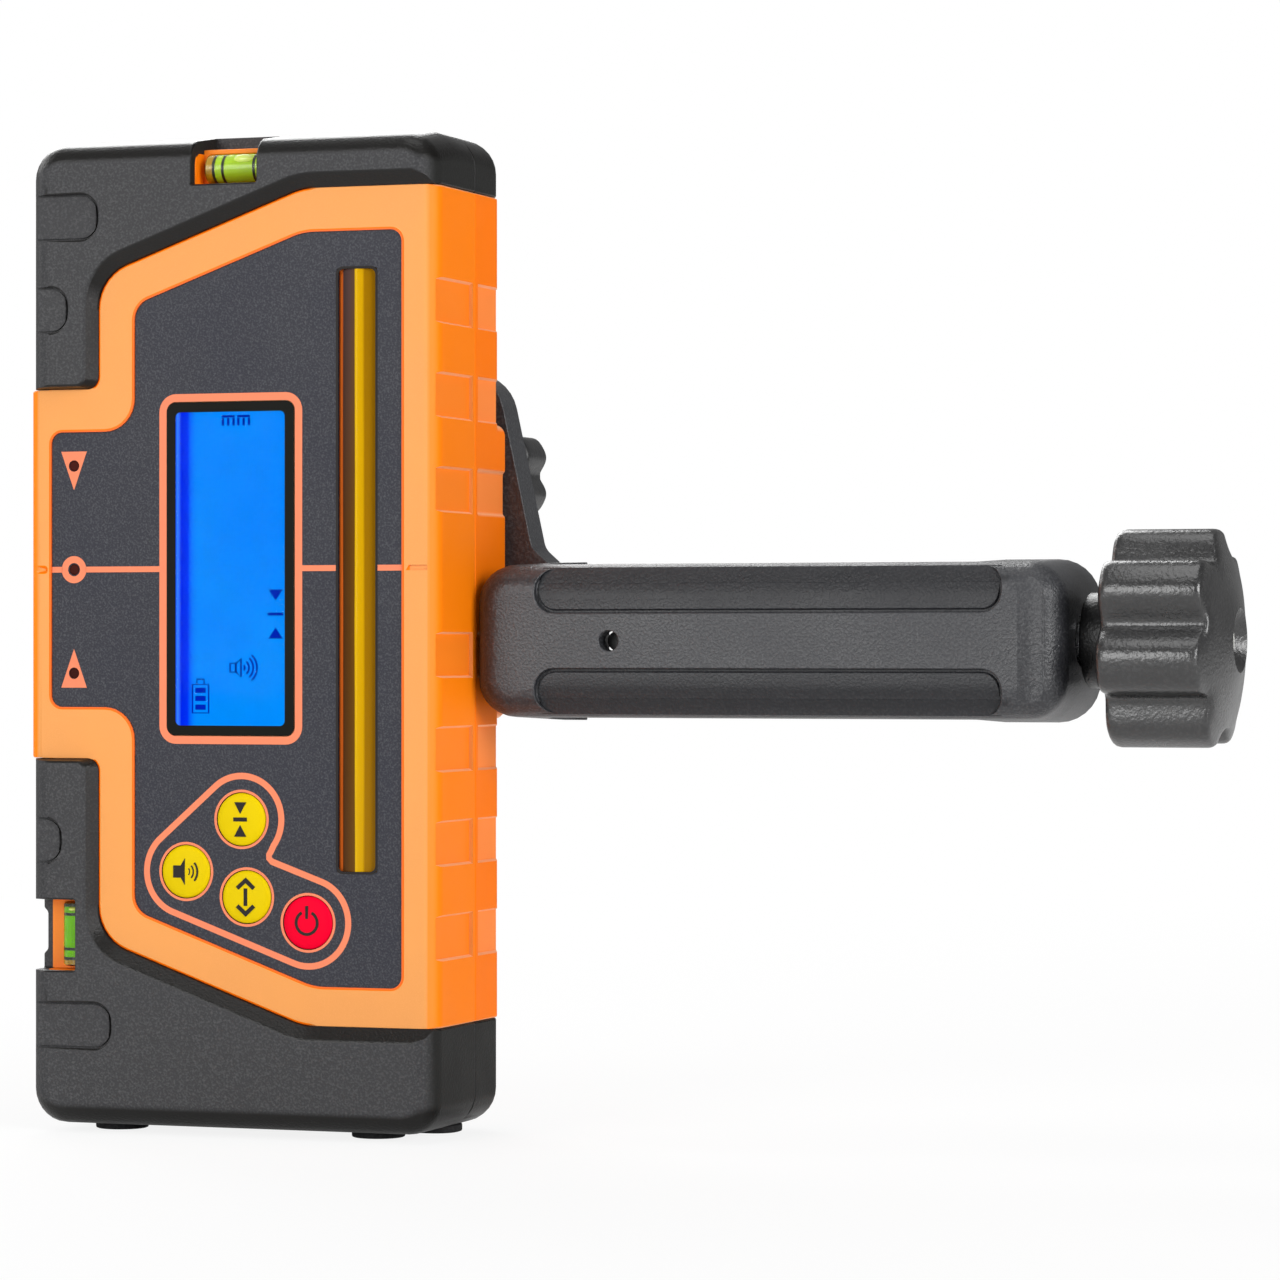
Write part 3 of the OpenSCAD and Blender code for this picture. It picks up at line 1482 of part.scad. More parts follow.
placed() front_shell();
placed() rear_shell();
placed() top_bumper_front();
placed() top_bumper_rear();
placed() bottom_bumper_front();
placed() bottom_bumper_rear();
placed() shell_gasket();
placed() shell_screws();
placed() base_feet();
placed() front_panel();
placed() screen_lens();
placed() lcd_glass();
placed() lcd_backlight();
placed() sensor_window();
placed() photodiode_board();
placed() photodiodes();
placed() main_board();
placed() board_screws();
placed() key_switches();
placed() indicator_lenses();
placed() indicator_leds();
placed() buzzer();
placed() key_accuracy();
placed() key_sound();
placed() key_units();
placed() key_power();
placed() top_vial();
placed() top_vial_seat();
placed() side_vial();
placed() side_vial_seat();
placed() battery_cells();
placed() battery_contacts();
placed() battery_door();
placed() door_seal();
placed() door_hinge_pin();
placed() clamp_insert();
placed() clamp_frame();
placed() stop_pin();
placed() fixed_jaw_pad();
placed() moving_jaw();
placed() moving_jaw_pad();
placed() jaw_keeper();
placed() clamp_nut();
placed() clamp_screw();
placed() clamp_knob();
placed() knob_end_screw();
placed() bracket_washer();
placed() bracket_stud();
placed() bracket_knob();
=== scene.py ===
"""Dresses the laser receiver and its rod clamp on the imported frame.

Lengths in this file are millimetres from the on-grade mark in the middle of the receiver's
face: X to the right, Y to the back and Z up. The function at() moves them to the frame.
"""
from __future__ import annotations

import logging
import math
from collections.abc import Iterable, Sequence
from dataclasses import dataclass, field
from enum import Enum

import bmesh
import bpy
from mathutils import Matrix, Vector


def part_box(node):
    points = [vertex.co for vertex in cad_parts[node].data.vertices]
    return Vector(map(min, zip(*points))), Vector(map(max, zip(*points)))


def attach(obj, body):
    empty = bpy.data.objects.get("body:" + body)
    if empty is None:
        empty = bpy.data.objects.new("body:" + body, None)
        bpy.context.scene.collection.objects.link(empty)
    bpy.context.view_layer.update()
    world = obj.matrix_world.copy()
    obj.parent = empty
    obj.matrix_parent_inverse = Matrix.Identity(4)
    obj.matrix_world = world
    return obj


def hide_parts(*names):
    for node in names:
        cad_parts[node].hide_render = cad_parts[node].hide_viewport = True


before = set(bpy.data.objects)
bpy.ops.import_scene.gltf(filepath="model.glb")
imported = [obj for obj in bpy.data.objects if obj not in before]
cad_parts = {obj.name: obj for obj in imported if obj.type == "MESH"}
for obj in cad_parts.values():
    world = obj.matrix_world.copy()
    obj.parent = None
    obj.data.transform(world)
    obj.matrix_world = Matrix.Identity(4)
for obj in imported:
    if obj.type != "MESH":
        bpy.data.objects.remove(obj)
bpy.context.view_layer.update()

LOG = logging.getLogger("receiver")
MM = 0.001
ROD_X = 59.0
ROD_Y = 31.5
ROOT = "receiver"
HARD = 35.0

Pair = tuple[float, float]
Triple = tuple[float, float, float]
Colour = Triple
Socket = bpy.types.NodeSocket
Modifiers = list[tuple[str, dict[str, object]]]


class Axis(Enum):
    """Which way a turned piece lies, as the order of (radial, radial, along)."""

    ALONG_X = 0
    ALONG_Y = 1
    ALONG_Z = 2


class Edge(Enum):
    """How far a copied piece's hard edges are broken, in millimetres."""

    CRISP = 0.08
    SOFT = 0.16
    ROUND = 0.3


class Skin(Enum):
    """Which of a copied piece's edges show: all, or those near the object's outside.

    The numbers are the front limit, the back limit and the side limit in millimetres.
    """

    ALL = (1000.0, -1000.0, 0.0)
    FRONT = (1.25, 1000.0, 36.6)
    BACK = (-1000.0, 28.6, 36.6)

    def shows(self, point: Vector) -> bool:
        """Tells whether an edge lies on the outside.

        Args:
            point: the edge's middle, in the row frame.

        Returns:
            True if it shows.
        """
        front, back, side = self.value
        x, y = point.x / MM + ROD_X, point.y / MM + ROD_Y
        return y < front or y > back or abs(x) > side


def at(x: float, y: float, z: float) -> Vector:
    """Moves a point from the receiver's face to the frame.

    Args:
        x: millimetres right of the face's middle.
        y: millimetres behind the face.
        z: millimetres above the on-grade mark.

    Returns:
        The point in metres in the row frame.
    """
    return Vector(((x - ROD_X) * MM, (y - ROD_Y) * MM, z * MM))


def tint(code: str) -> Colour:
    """Turns a hex colour into linear light.

    Args:
        code: six hex digits.

    Returns:
        Linear red, green and blue.
    """
    parts = [int(code[i:i + 2], 16) / 255 for i in (0, 2, 4)]
    return tuple(p / 12.92 if p <= 0.04045 else ((p + 0.055) / 1.055) ** 2.4 for p in parts)


def shaded(colour: Colour, factor: float) -> Colour:
    """Returns the colour made lighter or darker by a factor."""
    return tuple(min(1.0, c * factor) for c in colour)


class Shader:
    """A material under construction, with short calls for the nodes that the finishes use."""

    def __init__(self, name: str) -> None:
        """Starts a material with a Principled BSDF and object coordinates.

        Args:
            name: the material's name.
        """
        self.material = bpy.data.materials.new(name)
        self.material.use_nodes = True
        self.nodes = self.material.node_tree.nodes
        self.links = self.material.node_tree.links
        self.bsdf = self.nodes["Principled BSDF"]
        sources = self.nodes.new("ShaderNodeTexCoord").outputs
        self.place, self.turn = sources["Object"], sources["Normal"]

    def set(self, **values: float | Sequence[float]) -> None:
        """Sets constants on the BSDF's own sockets.

        Args:
            values: socket names with underscores for spaces.
        """
        for key, value in values.items():
            socket = self.bsdf.inputs[key.replace("_", " ")]
            if isinstance(value, tuple) and len(value) == 3:
                value = (*value, 1.0)
            socket.default_value = value

    def link(self, source: Socket, key: str) -> None:
        """Links a socket to one of the BSDF's inputs."""
        self.links.new(source, self.bsdf.inputs[key])

    def stretched(self, scale: Sequence[float]) -> Socket:
        """Object coordinates through a Mapping node.

        Args:
            scale: factor along each axis.

        Returns:
            The mapped vector.
        """
        node = self.nodes.new("ShaderNodeMapping")
        node.inputs["Scale"].default_value = scale
        self.links.new(self.place, node.inputs["Vector"])
        return node.outputs["Vector"]

    def noise(self, size: float, detail: float = 3.0, place: Socket | None = None) -> Socket:
        """A noise texture.

        Args:
            size: size of its blotches in millimetres.
            detail: levels of finer noise.
            place: coordinates, or None for object coordinates.

        Returns:
            The noise's value.
        """
        node = self.nodes.new("ShaderNodeTexNoise")
        node.inputs["Scale"].default_value = 1 / (size * MM)
        node.inputs["Detail"].default_value = detail
        self.links.new(place or self.place, node.inputs["Vector"])
        return node.outputs["Fac"]

    def span(self, value: Socket, low: float, high: float, a: float, b: float) -> Socket:
        """Maps a value to another range, clamped.

        Args:
            value: the value to map.
            low: its lower end.
            high: its upper end.
            a: what the lower end becomes.
            b: what the upper end becomes.

        Returns:
            The mapped value.
        """
        node = self.nodes.new("ShaderNodeMapRange")
        for key, number in zip(("From Min", "From Max", "To Min", "To Max"), (low, high, a, b)):
            node.inputs[key].default_value = number
        self.links.new(value, node.inputs["Value"])
        return node.outputs["Result"]

    def ramp(self, value: Socket, stops: Iterable[tuple[float, Colour]]) -> Socket:
        """A colour ramp.

        Args:
            value: the value to look up.
            stops: positions and their colours, in rising order.

        Returns:
            The colour.
        """
        node = self.nodes.new("ShaderNodeValToRGB")
        marks = node.color_ramp.elements
        for i, (spot, colour) in enumerate(stops):
            mark = marks[i] if i < 2 else marks.new(spot)
            mark.position = spot
            mark.color = (*colour, 1.0)
        self.links.new(value, node.inputs["Fac"])
        return node.outputs["Color"]

    def blend(self, share: Socket, a: Socket | Colour, b: Socket | Colour) -> Socket:
        """Mixes two colours.

        Args:
            share: share of the second colour.
            a: the first colour.
            b: the second colour.

        Returns:
            The mixed colour.
        """
        node = self.nodes.new("ShaderNodeMix")
        node.data_type = "RGBA"
        self.links.new(share, node.inputs["Factor"])
        for key, colour in ((6, a), (7, b)):
            if isinstance(colour, tuple):
                node.inputs[key].default_value = (*colour, 1.0)
            else:
                self.links.new(colour, node.inputs[key])
        return node.outputs[2]

    def math(self, operation: str, *values: Socket | float) -> Socket:
        """Adds a Math node.

        Args:
            operation: what it does.
            values: its inputs, as sockets or numbers.

        Returns:
            The result.
        """
        node = self.nodes.new("ShaderNodeMath")
        node.operation = operation
        for value, socket in zip(values, node.inputs):
            if isinstance(value, bpy.types.NodeSocket):
                self.links.new(value, socket)
            else:
                socket.default_value = value
        return node.outputs["Value"]

    def sum(self, a: Socket, b: Socket, weight: float) -> Socket:
        """Adds weight times b to a."""
        return self.math("MULTIPLY_ADD", b, weight, a)

    def product(self, a: Socket, b: Socket) -> Socket:
        """Multiplies two values."""
        return self.math("MULTIPLY", a, b)

    def bump(self, height: Socket, depth: float, strength: float = 1.0) -> None:
        """Bumps the surface by a height.

        Args:
            height: the height, from 0 to 1.
            depth: its full depth in millimetres.
            strength: share of the bump.
        """
        node = self.nodes.new("ShaderNodeBump")
        node.inputs["Strength"].default_value = strength
        node.inputs["Distance"].default_value = depth * MM
        self.links.new(height, node.inputs["Height"])
        self.link(node.outputs["Normal"], "Normal")

    def axis(self, name: str) -> Socket:
        """One of the object coordinates.

        Args:
            name: X, Y or Z.

        Returns:
            The coordinate.
        """
        node = self.nodes.new("ShaderNodeSeparateXYZ")
        self.links.new(self.place, node.inputs["Vector"])
        return node.outputs[name]

    def facing(self, name: str) -> Socket:
        """How far the surface faces along an axis.

        Args:
            name: X, Y or Z.

        Returns:
            A value from 0 to 1, the same for both ways.
        """
        node = self.nodes.new("ShaderNodeSeparateXYZ")
        self.links.new(self.turn, node.inputs["Vector"])
        return self.math("ABSOLUTE", node.outputs[name])


@dataclass(frozen=True)
class Moulded:
    """A moulded plastic or rubber with its eroded grain.

    Args:
        name: the material's name.
        colour: six hex digits.
        roughness: middle of its roughness.
        grain: size of the grain in millimetres.
        depth: depth of the grain in millimetres.
        mottle: share by which broad patches get lighter and darker.
        speckle: share of light in the grain's peaks.
        specular: the BSDF's specular level.
        patch: size of the broad patches in millimetres.
        uneven: how far the roughness goes up and down in the patches.
    """

    name: str
    colour: str
    roughness: float = 0.45
    grain: float = 0.3
    depth: float = 0.02
    mottle: float = 0.05
    speckle: float = 0.0
    specular: float = 0.5
    patch: float = 14.0
    uneven: float = 0.05

    def material(self) -> bpy.types.Material:
        """Builds the material.

        Returns:
            The material.
        """
        shader = Shader(self.name)
        base = tint(self.colour)
        patches = shader.noise(self.patch, 4.0)
        grain = shader.noise(self.grain, 2.0)
        dull, bright = shaded(base, 1 - self.mottle), shaded(base, 1 + self.mottle)
        body = shader.ramp(patches, [(0.3, dull), (0.7, bright)])
        if self.speckle > 0:
            peak = shader.span(grain, 0.46, 0.74, 0.0, 1.0)
            light = tuple(c + self.speckle for c in base)
            body = shader.blend(peak, body, light)
        low, high = self.roughness - self.uneven, self.roughness + self.uneven
        sheen = shader.sum(shader.span(patches, 0.3, 0.7, low, high), grain, 0.06)
        shader.set(Specular_IOR_Level=self.specular)
        self.finish(shader, body, sheen, grain)
        return shader.material

    def finish(self, shader: Shader, body: Socket, sheen: Socket, grain: Socket) -> None:
        """Links colour, roughness and grain to the BSDF.

        Args:
            shader: the material under construction.
            body: the colour.
            sheen: the roughness.
            grain: the grain's height.
        """
        shader.link(body, "Base Color")
        shader.link(sheen, "Roughness")
        shader.bump(grain, self.depth)


@dataclass(frozen=True)
class Shell(Moulded):
    """The housing's moulding, with painted light: paler on its flat front and back as a painted
    sheen, a deeper orange on its sides as painted shade, and lighter in its side grips as painted
    light.

    Args:
        side: six hex digits, the colour of the sides, a deeper orange as painted shade.
        floor: six hex digits, the colour of the grips' floors, paler as painted light.
        rim: six hex digits, the colour of the grips' ends, a painted highlight.
        grip: how far the grips' floors and their ribs lie from the middle, in millimetres.
        inside: how far from the middle the floors' colour begins.
        rim_from: how far from the middle the painted highlight on the grips' ends begins.
        dull: specular level of the sides.
    """

    side: str = "FF7A00"
    floor: str = "FF8E3C"
    rim: str = "FFC498"
    grip: Pair = (36.9, 37.6)
    inside: Pair = (34.5, 34.9)
    rim_from: Pair = (36.0, 36.2)
    dull: float = 0.1

    def finish(self, shader: Shader, body: Socket, sheen: Socket, grain: Socket) -> None:
        """Links the finish with the painted shade and light of its sides.

        Args:
            shader: the material under construction.
            body: the colour.
            sheen: the roughness.
            grain: the grain's height.
        """
        # Painted light: the sides take a deeper orange as painted shade, the grips' floors a paler
        # one and their ends a painted highlight, while the flat front and back keep the paler body
        # colour as a painted sheen.
        across = shader.axis("X")
        ribs, inside, rim_highlight = (
            shader.span(across, at(low, 0, 0).x, at(high, 0, 0).x, 0.0, 1.0)
            for low, high in (self.grip[::-1], self.inside, self.rim_from))
        sides = shader.blend(shader.product(ribs, inside), tint(self.side), tint(self.floor))
        ends = shader.product(shader.span(shader.facing("Z"), 0.3, 0.8, 0.0, 0.75), rim_highlight)
        flat = shader.span(shader.facing("Y"), 0.9, 0.98, 0.0, 1.0)
        shader.link(shader.span(flat, 0.0, 1.0, self.dull, self.specular), "Specular IOR Level")
        colour = shader.blend(flat, shader.blend(ends, sides, tint(self.rim)), body)
        Moulded.finish(self, shader, colour, sheen, grain)


@dataclass(frozen=True)
class Bumper(Moulded):
    """A rubber that is grained on its faces, and darker and smooth where it slopes; its sides are
    darker as painted shade.

    Args:
        slope: six hex digits, the colour of the slopes.
        side: six hex digits, the colour of the sides, darker as painted shade.
        smooth: roughness of the slopes.
        dull: specular level of the sides.
    """

    slope: str = "141312"
    side: str = "282827"
    smooth: float = 0.32
    dull: float = 0.06

    def finish(self, shader: Shader, body: Socket, sheen: Socket, grain: Socket) -> None:
        """Links the finish with dark, smooth slopes and painted shade on the sides.

        Args:
            shader: the material under construction.
            body: the colour.
            sheen: the roughness.
            grain: the grain's height.
        """
        tilt = shader.span(shader.facing("Z"), 0.12, 0.3, 0.0, 1.0)
        # Painted shade: faces turned along X take the darker side colour.
        turned = shader.span(shader.facing("X"), 0.5, 0.9, 0.0, 1.0)
        gloss = shader.nodes.new("ShaderNodeMix")
        shader.links.new(tilt, gloss.inputs["Factor"])
        shader.links.new(sheen, gloss.inputs[2])
        gloss.inputs[3].default_value = self.smooth
        shader.link(shader.span(turned, 0.0, 1.0, self.specular, self.dull), "Specular IOR Level")
        faces = shader.blend(turned, body, tint(self.side))
        colour = shader.blend(tilt, faces, tint(self.slope))
        Moulded.finish(self, shader, colour, gloss.outputs[0], grain)


@dataclass(frozen=True)
class ShadedMoulding(Moulded):
    """A moulding with painted shade: its sunk parts are darker and duller than the rest.

    Args:
        plain: where the plain colour ends, in millimetres along the axis.
        sunk: where the dark colour begins, in millimetres along the axis.
        dark: factor of the sunk parts' colour, the depth of the painted shade.
        across: whether the axis is X and not Y; along Y only the flat floors of the front are dark.
        back: where the front's floors end, in millimetres along Y.
        end: where the front's floors end, in millimetres along X.
        middle: height of the front's middle, from which the painted shade on its floors gets darker
            up and down.
        spread: distances from the middle at which they are lightest and darkest.
        least: share of the painted shade where they are lightest.
    """

    plain: float = 14.2
    sunk: float = 14.6
    dark: float = 0.48
    across: bool = False
    back: float = 16.6
    end: float = 133.4
    middle: float = -12.4
    spread: Pair = (4.5, 10.5)
    least: float = 0.35

    def finish(self, shader: Shader, body: Socket, sheen: Socket, grain: Socket) -> None:
        """Links the finish with its painted shade.

        Args:
            shader: the material under construction.
            body: the colour.
            sheen: the roughness.
            grain: the grain's height.
        """
        # Painted shade: across X it darkens a knob's hub next to the arm; along Y it darkens the
        # front's flat sunk floors, more towards their top and bottom.
        if self.across:
            plain, sunk = at(self.plain, 0, 0).x, at(self.sunk, 0, 0).x
            shade_share = shader.span(shader.axis("X"), plain, sunk, 0.0, 1.0)
        else:
            depth, along, height = shader.axis("Y"), shader.axis("X"), shader.axis("Z")
            (near, far), middle, least = self.spread, self.middle, self.least
            over = shader.span(height, (middle + near) * MM, (middle + far) * MM, least, 1.0)
            under = shader.span(height, (middle - near) * MM, (middle - far) * MM, 0.0, 1.0 - least)
            flat = shader.span(shader.facing("Y"), 0.8, 0.98, 0.0, 1.0)
            shade_share = shader.product(shader.sum(over, under, 1.0), flat)
            for value, low, high in (
                    (depth, at(0, self.plain, 0).y, at(0, self.sunk, 0).y),
                    (depth, at(0, self.back + 0.4, 0).y, at(0, self.back, 0).y),
                    (along, at(self.end + 0.6, 0, 0).x, at(self.end, 0, 0).x)):
                shade_share = shader.product(shade_share, shader.span(value, low, high, 0.0, 1.0))
        dull = self.specular * self.dark
        shader.link(shader.span(shade_share, 0.0, 1.0, self.specular, dull), "Specular IOR Level")
        low = shaded(tint(self.colour), self.dark)
        Moulded.finish(self, shader, shader.blend(shade_share, body, low), sheen, grain)


@dataclass(frozen=True)
class PaintedGlowInk(Moulded):
    """The screen's dark segments, with a painted glow: they give off a little light in their own
    colour, though they are no lamp.

    Args:
        glow: emission strength of the painted glow.
    """

    glow: float = 0.15

    def finish(self, shader: Shader, body: Socket, sheen: Socket, grain: Socket) -> None:
        """Links the finish, with its own colour as its painted glow.

        Args:
            shader: the material under construction.
            body: the colour.
            sheen: the roughness.
            grain: the grain's height.
        """
        Moulded.finish(self, shader, body, sheen, grain)
        # Painted glow: the ink's own colour as emission.
        shader.link(body, "Emission Color")
        shader.set(Emission_Strength=self.glow)


@dataclass(frozen=True)
class Turned:
    """A metal with fine tool marks.

    Args:
        name: the material's name.
        colour: six hex digits.
        roughness: middle of its roughness.
        marks: stretch of the tool marks along each axis.
    """

    name: str
    colour: str
    roughness: float = 0.3
    marks: Triple = (1.0, 0.15, 0.15)

    def material(self) -> bpy.types.Material:
        """Builds the material.

        Returns:
            The material.
        """
        shader = Shader(self.name)
        base = tint(self.colour)
        marks = shader.noise(0.12, 3.0, shader.stretched(self.marks))
        stain = shader.noise(3.0, 4.0)
        shader.link(shader.ramp(stain, [(0.3, shaded(base, 0.82)), (0.72, base)]), "Base Color")
        low, high = self.roughness - 0.1, self.roughness + 0.12
        shader.link(shader.span(marks, 0.2, 0.8, low, high), "Roughness")
        shader.set(Metallic=1.0)
        shader.bump(marks, 0.01, 0.5)
        return shader.material


@dataclass(frozen=True)
class Clear:
    """A clear or tinted plastic.

    Args:
        name: the material's name.
        colour: six hex digits.
        roughness: middle of its roughness.
        through: share of light that passes.
        ior: index of refraction.
    """

    name: str
    colour: str
    roughness: float = 0.05
    through: float = 1.0
    ior: float = 1.46

    def material(self) -> bpy.types.Material:
        """Builds the material.

        Returns:
            The material.
        """
        shader = Shader(self.name)
        base = tint(self.colour)
        smear = shader.noise(4.0, 5.0)
        shader.link(shader.ramp(smear, [(0.3, shaded(base, 0.95)), (0.7, base)]), "Base Color")
        low, high = self.roughness * 0.6, self.roughness * 1.6
        shader.link(shader.span(smear, 0.3, 0.8, low, high), "Roughness")
        shader.set(Transmission_Weight=self.through, IOR=self.ior)
        return shader.material


@dataclass(frozen=True)
class Lit:
    """The screen's lit field: bright blue, with a deeper strip along its left edge that is a
    painted shadow of the frame.

    Args:
        name: the material's name.
        left: left end of the strip, in millimetres from the face's middle.
        strip: width of the painted shadow strip in millimetres.
        glow: emission strength.
    """

    name: str
    left: float
    strip: float = 3.0
    glow: float = 1.0

    def material(self) -> bpy.types.Material:
        """Builds the material.

        Returns:
            The material.
        """
        shader = Shader(self.name)
        start = at(self.left, 0, 0).x
        along = shader.span(shader.axis("X"), start, start + self.strip * MM, 0.0, 1.0)
        cloud = shader.noise(18.0, 2.0)
        field_blue = shader.ramp(cloud, [(0.3, tint("0086FF")), (0.75, tint("0292FF"))])
        # Painted shadow: the frame's shade along the left edge, deep blue with a lighter line near
        # its left end.
        strip = shader.ramp(along, [
            (0.0, tint("0A48F0")), (0.1, tint("3C86FF")), (0.2, tint("2A60FF")),
            (0.27, tint("0026F0")), (0.6, tint("0030FA")), (1.0, tint("0A70FF"))])
        mask = shader.span(along, 0.58, 1.0, 0.0, 1.0)
        lit = shader.blend(mask, strip, field_blue)
        shader.link(lit, "Emission Color")
        shader.set(Base_Color=tint("000208"), Roughness=0.5, Specular_IOR_Level=0.0)
        shader.set(Emission_Strength=self.glow)
        return shader.material


@dataclass(frozen=True)
class Amber:
    """The sensor window, coloured with painted light and reflection: dark on the facet turned left,
    gold on the facet turned right.

    Args:
        name: the material's name.
        middle: the ridge, in millimetres from the face's middle.
        half: half of the window's width in millimetres.
    """

    name: str
    middle: float
    half: float

    def material(self) -> bpy.types.Material:
        """Builds the material.

        Returns:
            The material.
        """
        shader = Shader(self.name)
        low, high = at(self.middle - self.half, 0, 0).x, at(self.middle + self.half, 0, 0).x
        across = shader.span(shader.axis("X"), low, high, 0.0, 1.0)
        streak = shader.noise(1.2, 3.0, shader.stretched((1.0, 1.0, 0.02)))
        swept = shader.sum(across, shader.span(streak, 0.3, 0.7, -0.5, 0.5), 0.03)
        # Painted light and reflection: the facets' dark and gold, the orange-red lines at the left
        # edge, the dark line at the right edge and the greyer upper part of the dark facet.
        left = [(0.0, tint("9A3410")), (0.04, tint("D86A24")), (0.09, tint("C85A1C")),
                (0.12, tint("4A2A10")), (0.3, tint("5A3810")), (0.44, tint("66420E"))]
        right = [(0.46, tint("D8AC0A")), (0.52, tint("C49804")), (0.64, tint("BE9002")),
                 (0.69, tint("8E6400")), (0.94, tint("8C6200")), (0.98, tint("4A3404"))]
        dusk = [(spot, shaded(colour, 0.9)) for spot, colour in left[:3]] + [
            (0.12, tint("40302E")), (0.3, tint("4E3A38")), (0.44, tint("58402C"))]
        height = shader.span(shader.axis("Z"), at(0, 0, 5.0).z, at(0, 0, 50.0).z, 0.0, 1.0)
        lower, upper = shader.ramp(swept, left + right), shader.ramp(swept, dusk + right)
        gold = shader.blend(height, lower, upper)
        shader.link(gold, "Base Color")
        # A faint painted glow in the window's own colours.
        shader.link(gold, "Emission Color")
        shader.link(shader.span(streak, 0.2, 0.8, 0.08, 0.2), "Roughness")
        shader.set(Emission_Strength=0.03, Specular_IOR_Level=0.1)
        return shader.material


class Finishes:
    """Every finish of the object, made once and looked up by name."""

    def __init__(self) -> None:
        """Builds the materials."""
        kinds = [
            # The shells' side, floor and rim colours are painted shade and painted light.
            Shell("orange_shell", "E2964D", 0.48, 0.22, 0.012, 0.03, 0.01, 0.25,
                  side="FF8208", floor="FF8830"),
            Shell("orange_rear", "F0903A", 0.48, 0.22, 0.012, 0.03, 0.01, 0.25,
                  side="FF7A04", floor="FFA060"),
            Moulded("orange_seat", "F2841E", 0.48, 0.22, 0.012, 0.03, 0.01, 0.25),
            # A deep orange painted shade line round the panel.
            Moulded("panel_rim_shade", "F06818", 0.4, 0.3, 0.004, 0.05, 0.0, 0.2),
            Bumper("bumper_rubber", "2F2F31", 0.5, 0.4, 0.08, 0.1, 0.032, 0.28),
            Moulded("panel_film", "25262F", 0.46, 0.34, 0.06, 0.1, 0.036, 0.25),
            # The arm's sunk floors and the clamp knob's hub get painted shade.
            ShadedMoulding("clamp_plastic", "25262A", 0.41, 0.45, 0.13, 0.12, 0.034, 0.58),
            ShadedMoulding("knob_plastic", "151516", 0.27, 0.6, 0.09, 0.15, 0.014, 0.95,
                     plain=149.6, sunk=149.0, dark=0.25, across=True),
            Moulded("bracket_plastic", "19191A", 0.4, 0.6, 0.09, 0.15, 0.014, 0.5),
            Moulded("black_rubber", "1E1E20", 0.7, 0.4, 0.04, 0.1, 0.02, 0.3),
            Moulded("salmon_ink", "E6815C", 0.6, 0.2, 0.008, 0.03, 0.01, 0.2),
            Moulded("icon_ink", "221E1C", 0.6, 0.2, 0.006, 0.05, 0.0, 0.2),
            # The screen's signs glow a little as painted light.
            PaintedGlowInk("navy_ink", "001890", 0.6, 0.3, 0.004, 0.05, 0.0, 0.0, glow=0.15),
            Moulded("mask_ink", "12120E", 0.45, 0.3, 0.004, 0.08, 0.0, 0.06),
            Moulded("yellow_key", "D8BC00", 0.5, 0.25, 0.008, 0.03, 0.0, 0.06),
            Moulded("red_key", "EA002C", 0.5, 0.25, 0.008, 0.06, 0.0, 0.04),
            Moulded("white_plastic", "DCDCD6", 0.45, 0.3, 0.01),
            Moulded("board_green", "1C5436", 0.4, 0.5, 0.01, 0.12, 0.02),
            Moulded("component_black", "1E1E20", 0.45, 0.3, 0.015),
            Moulded("cell_wrap", "2C5F94", 0.3, 0.6, 0.005, 0.1),
            Moulded("vial_line", "101408", 0.4, 0.3, 0.004),
            Turned("steel", "C4C6C8", 0.28),
            Moulded("zinc", "F4F4EE", 0.25, 0.5, 0.004, 0.04, 0.0, 0.9),
            Turned("brass", "C9A24C", 0.3),
            Clear("clear_lens", "FCFEFF", 0.03, 1.0, 1.05),
            Clear("vial_tube", "F8FEF0", 0.02, 1.0, 1.1),
            Moulded("red_lens", "3A120C", 0.5, 0.6, 0.004, 0.4, 0.0, 0.06),
            Moulded("yellow_spirit", "90AE22", 0.12, 2.0, 0.002, 0.12, 0.0, 0.4),
            Moulded("green_spirit", "62A806", 0.12, 2.0, 0.002, 0.12, 0.0, 0.4),
            Moulded("bubble", "CFE06E", 0.08, 2.0, 0.002, 0.05, 0.0, 0.6),
            # Amber vial ends as a painted reflection of the orange shell.
            Moulded("vial_plug_reflection", "94700C", 0.2, 1.0, 0.002, 0.12, 0.0, 0.6),
            Lit("lit_screen", -11.2, 3.9),
            Amber("amber_window", 23.1, 3.6),
        ]
        self.made = {kind.name: kind.material() for kind in kinds}

    def __getitem__(self, name: str) -> bpy.types.Material:
        """Looks a material up by its name."""
        return self.made[name]


def place_piece(name: str, mesh: bpy.types.Mesh, body: str,
                nodes: Sequence[str] = ()) -> None:
    """Puts a finished mesh into the scene as a piece.

    Args:
        name: the piece's name.
        mesh: its mesh, in the row frame.
        body: the CAD body that it rides on.
        nodes: the CAD nodes that it replaces.
    """
    piece = bpy.data.objects.new(name, mesh)
    bpy.context.scene.collection.objects.link(piece)
    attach(piece, body)
    if nodes:
        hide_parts(*nodes)
    LOG.info("%s rides on %s", name, body)


def smooth(mesh: bpy.types.Mesh, angle: float = HARD) -> None:
    """Shades a mesh smooth, except at edges sharper than an angle in degrees."""
    mesh.shade_smooth()
    mesh.set_sharp_from_angle(angle=math.radians(angle))


def mesh_from(bm: bmesh.types.BMesh, name: str, material: bpy.types.Material) -> bpy.types.Mesh:
    """Closes a bmesh into a mesh with outward normals and smooth curves.

    Args:
        bm: the shape; it is freed.
        name: the mesh's name.
        material: its material.

    Returns:
        The mesh.
    """
    bmesh.ops.remove_doubles(bm, verts=bm.verts, dist=1e-7)
    bmesh.ops.recalc_face_normals(bm, faces=bm.faces)
    mesh = bpy.data.meshes.new(name)
    bm.to_mesh(mesh)
    bm.free()
    mesh.materials.append(material)
    smooth(mesh)
    return mesh


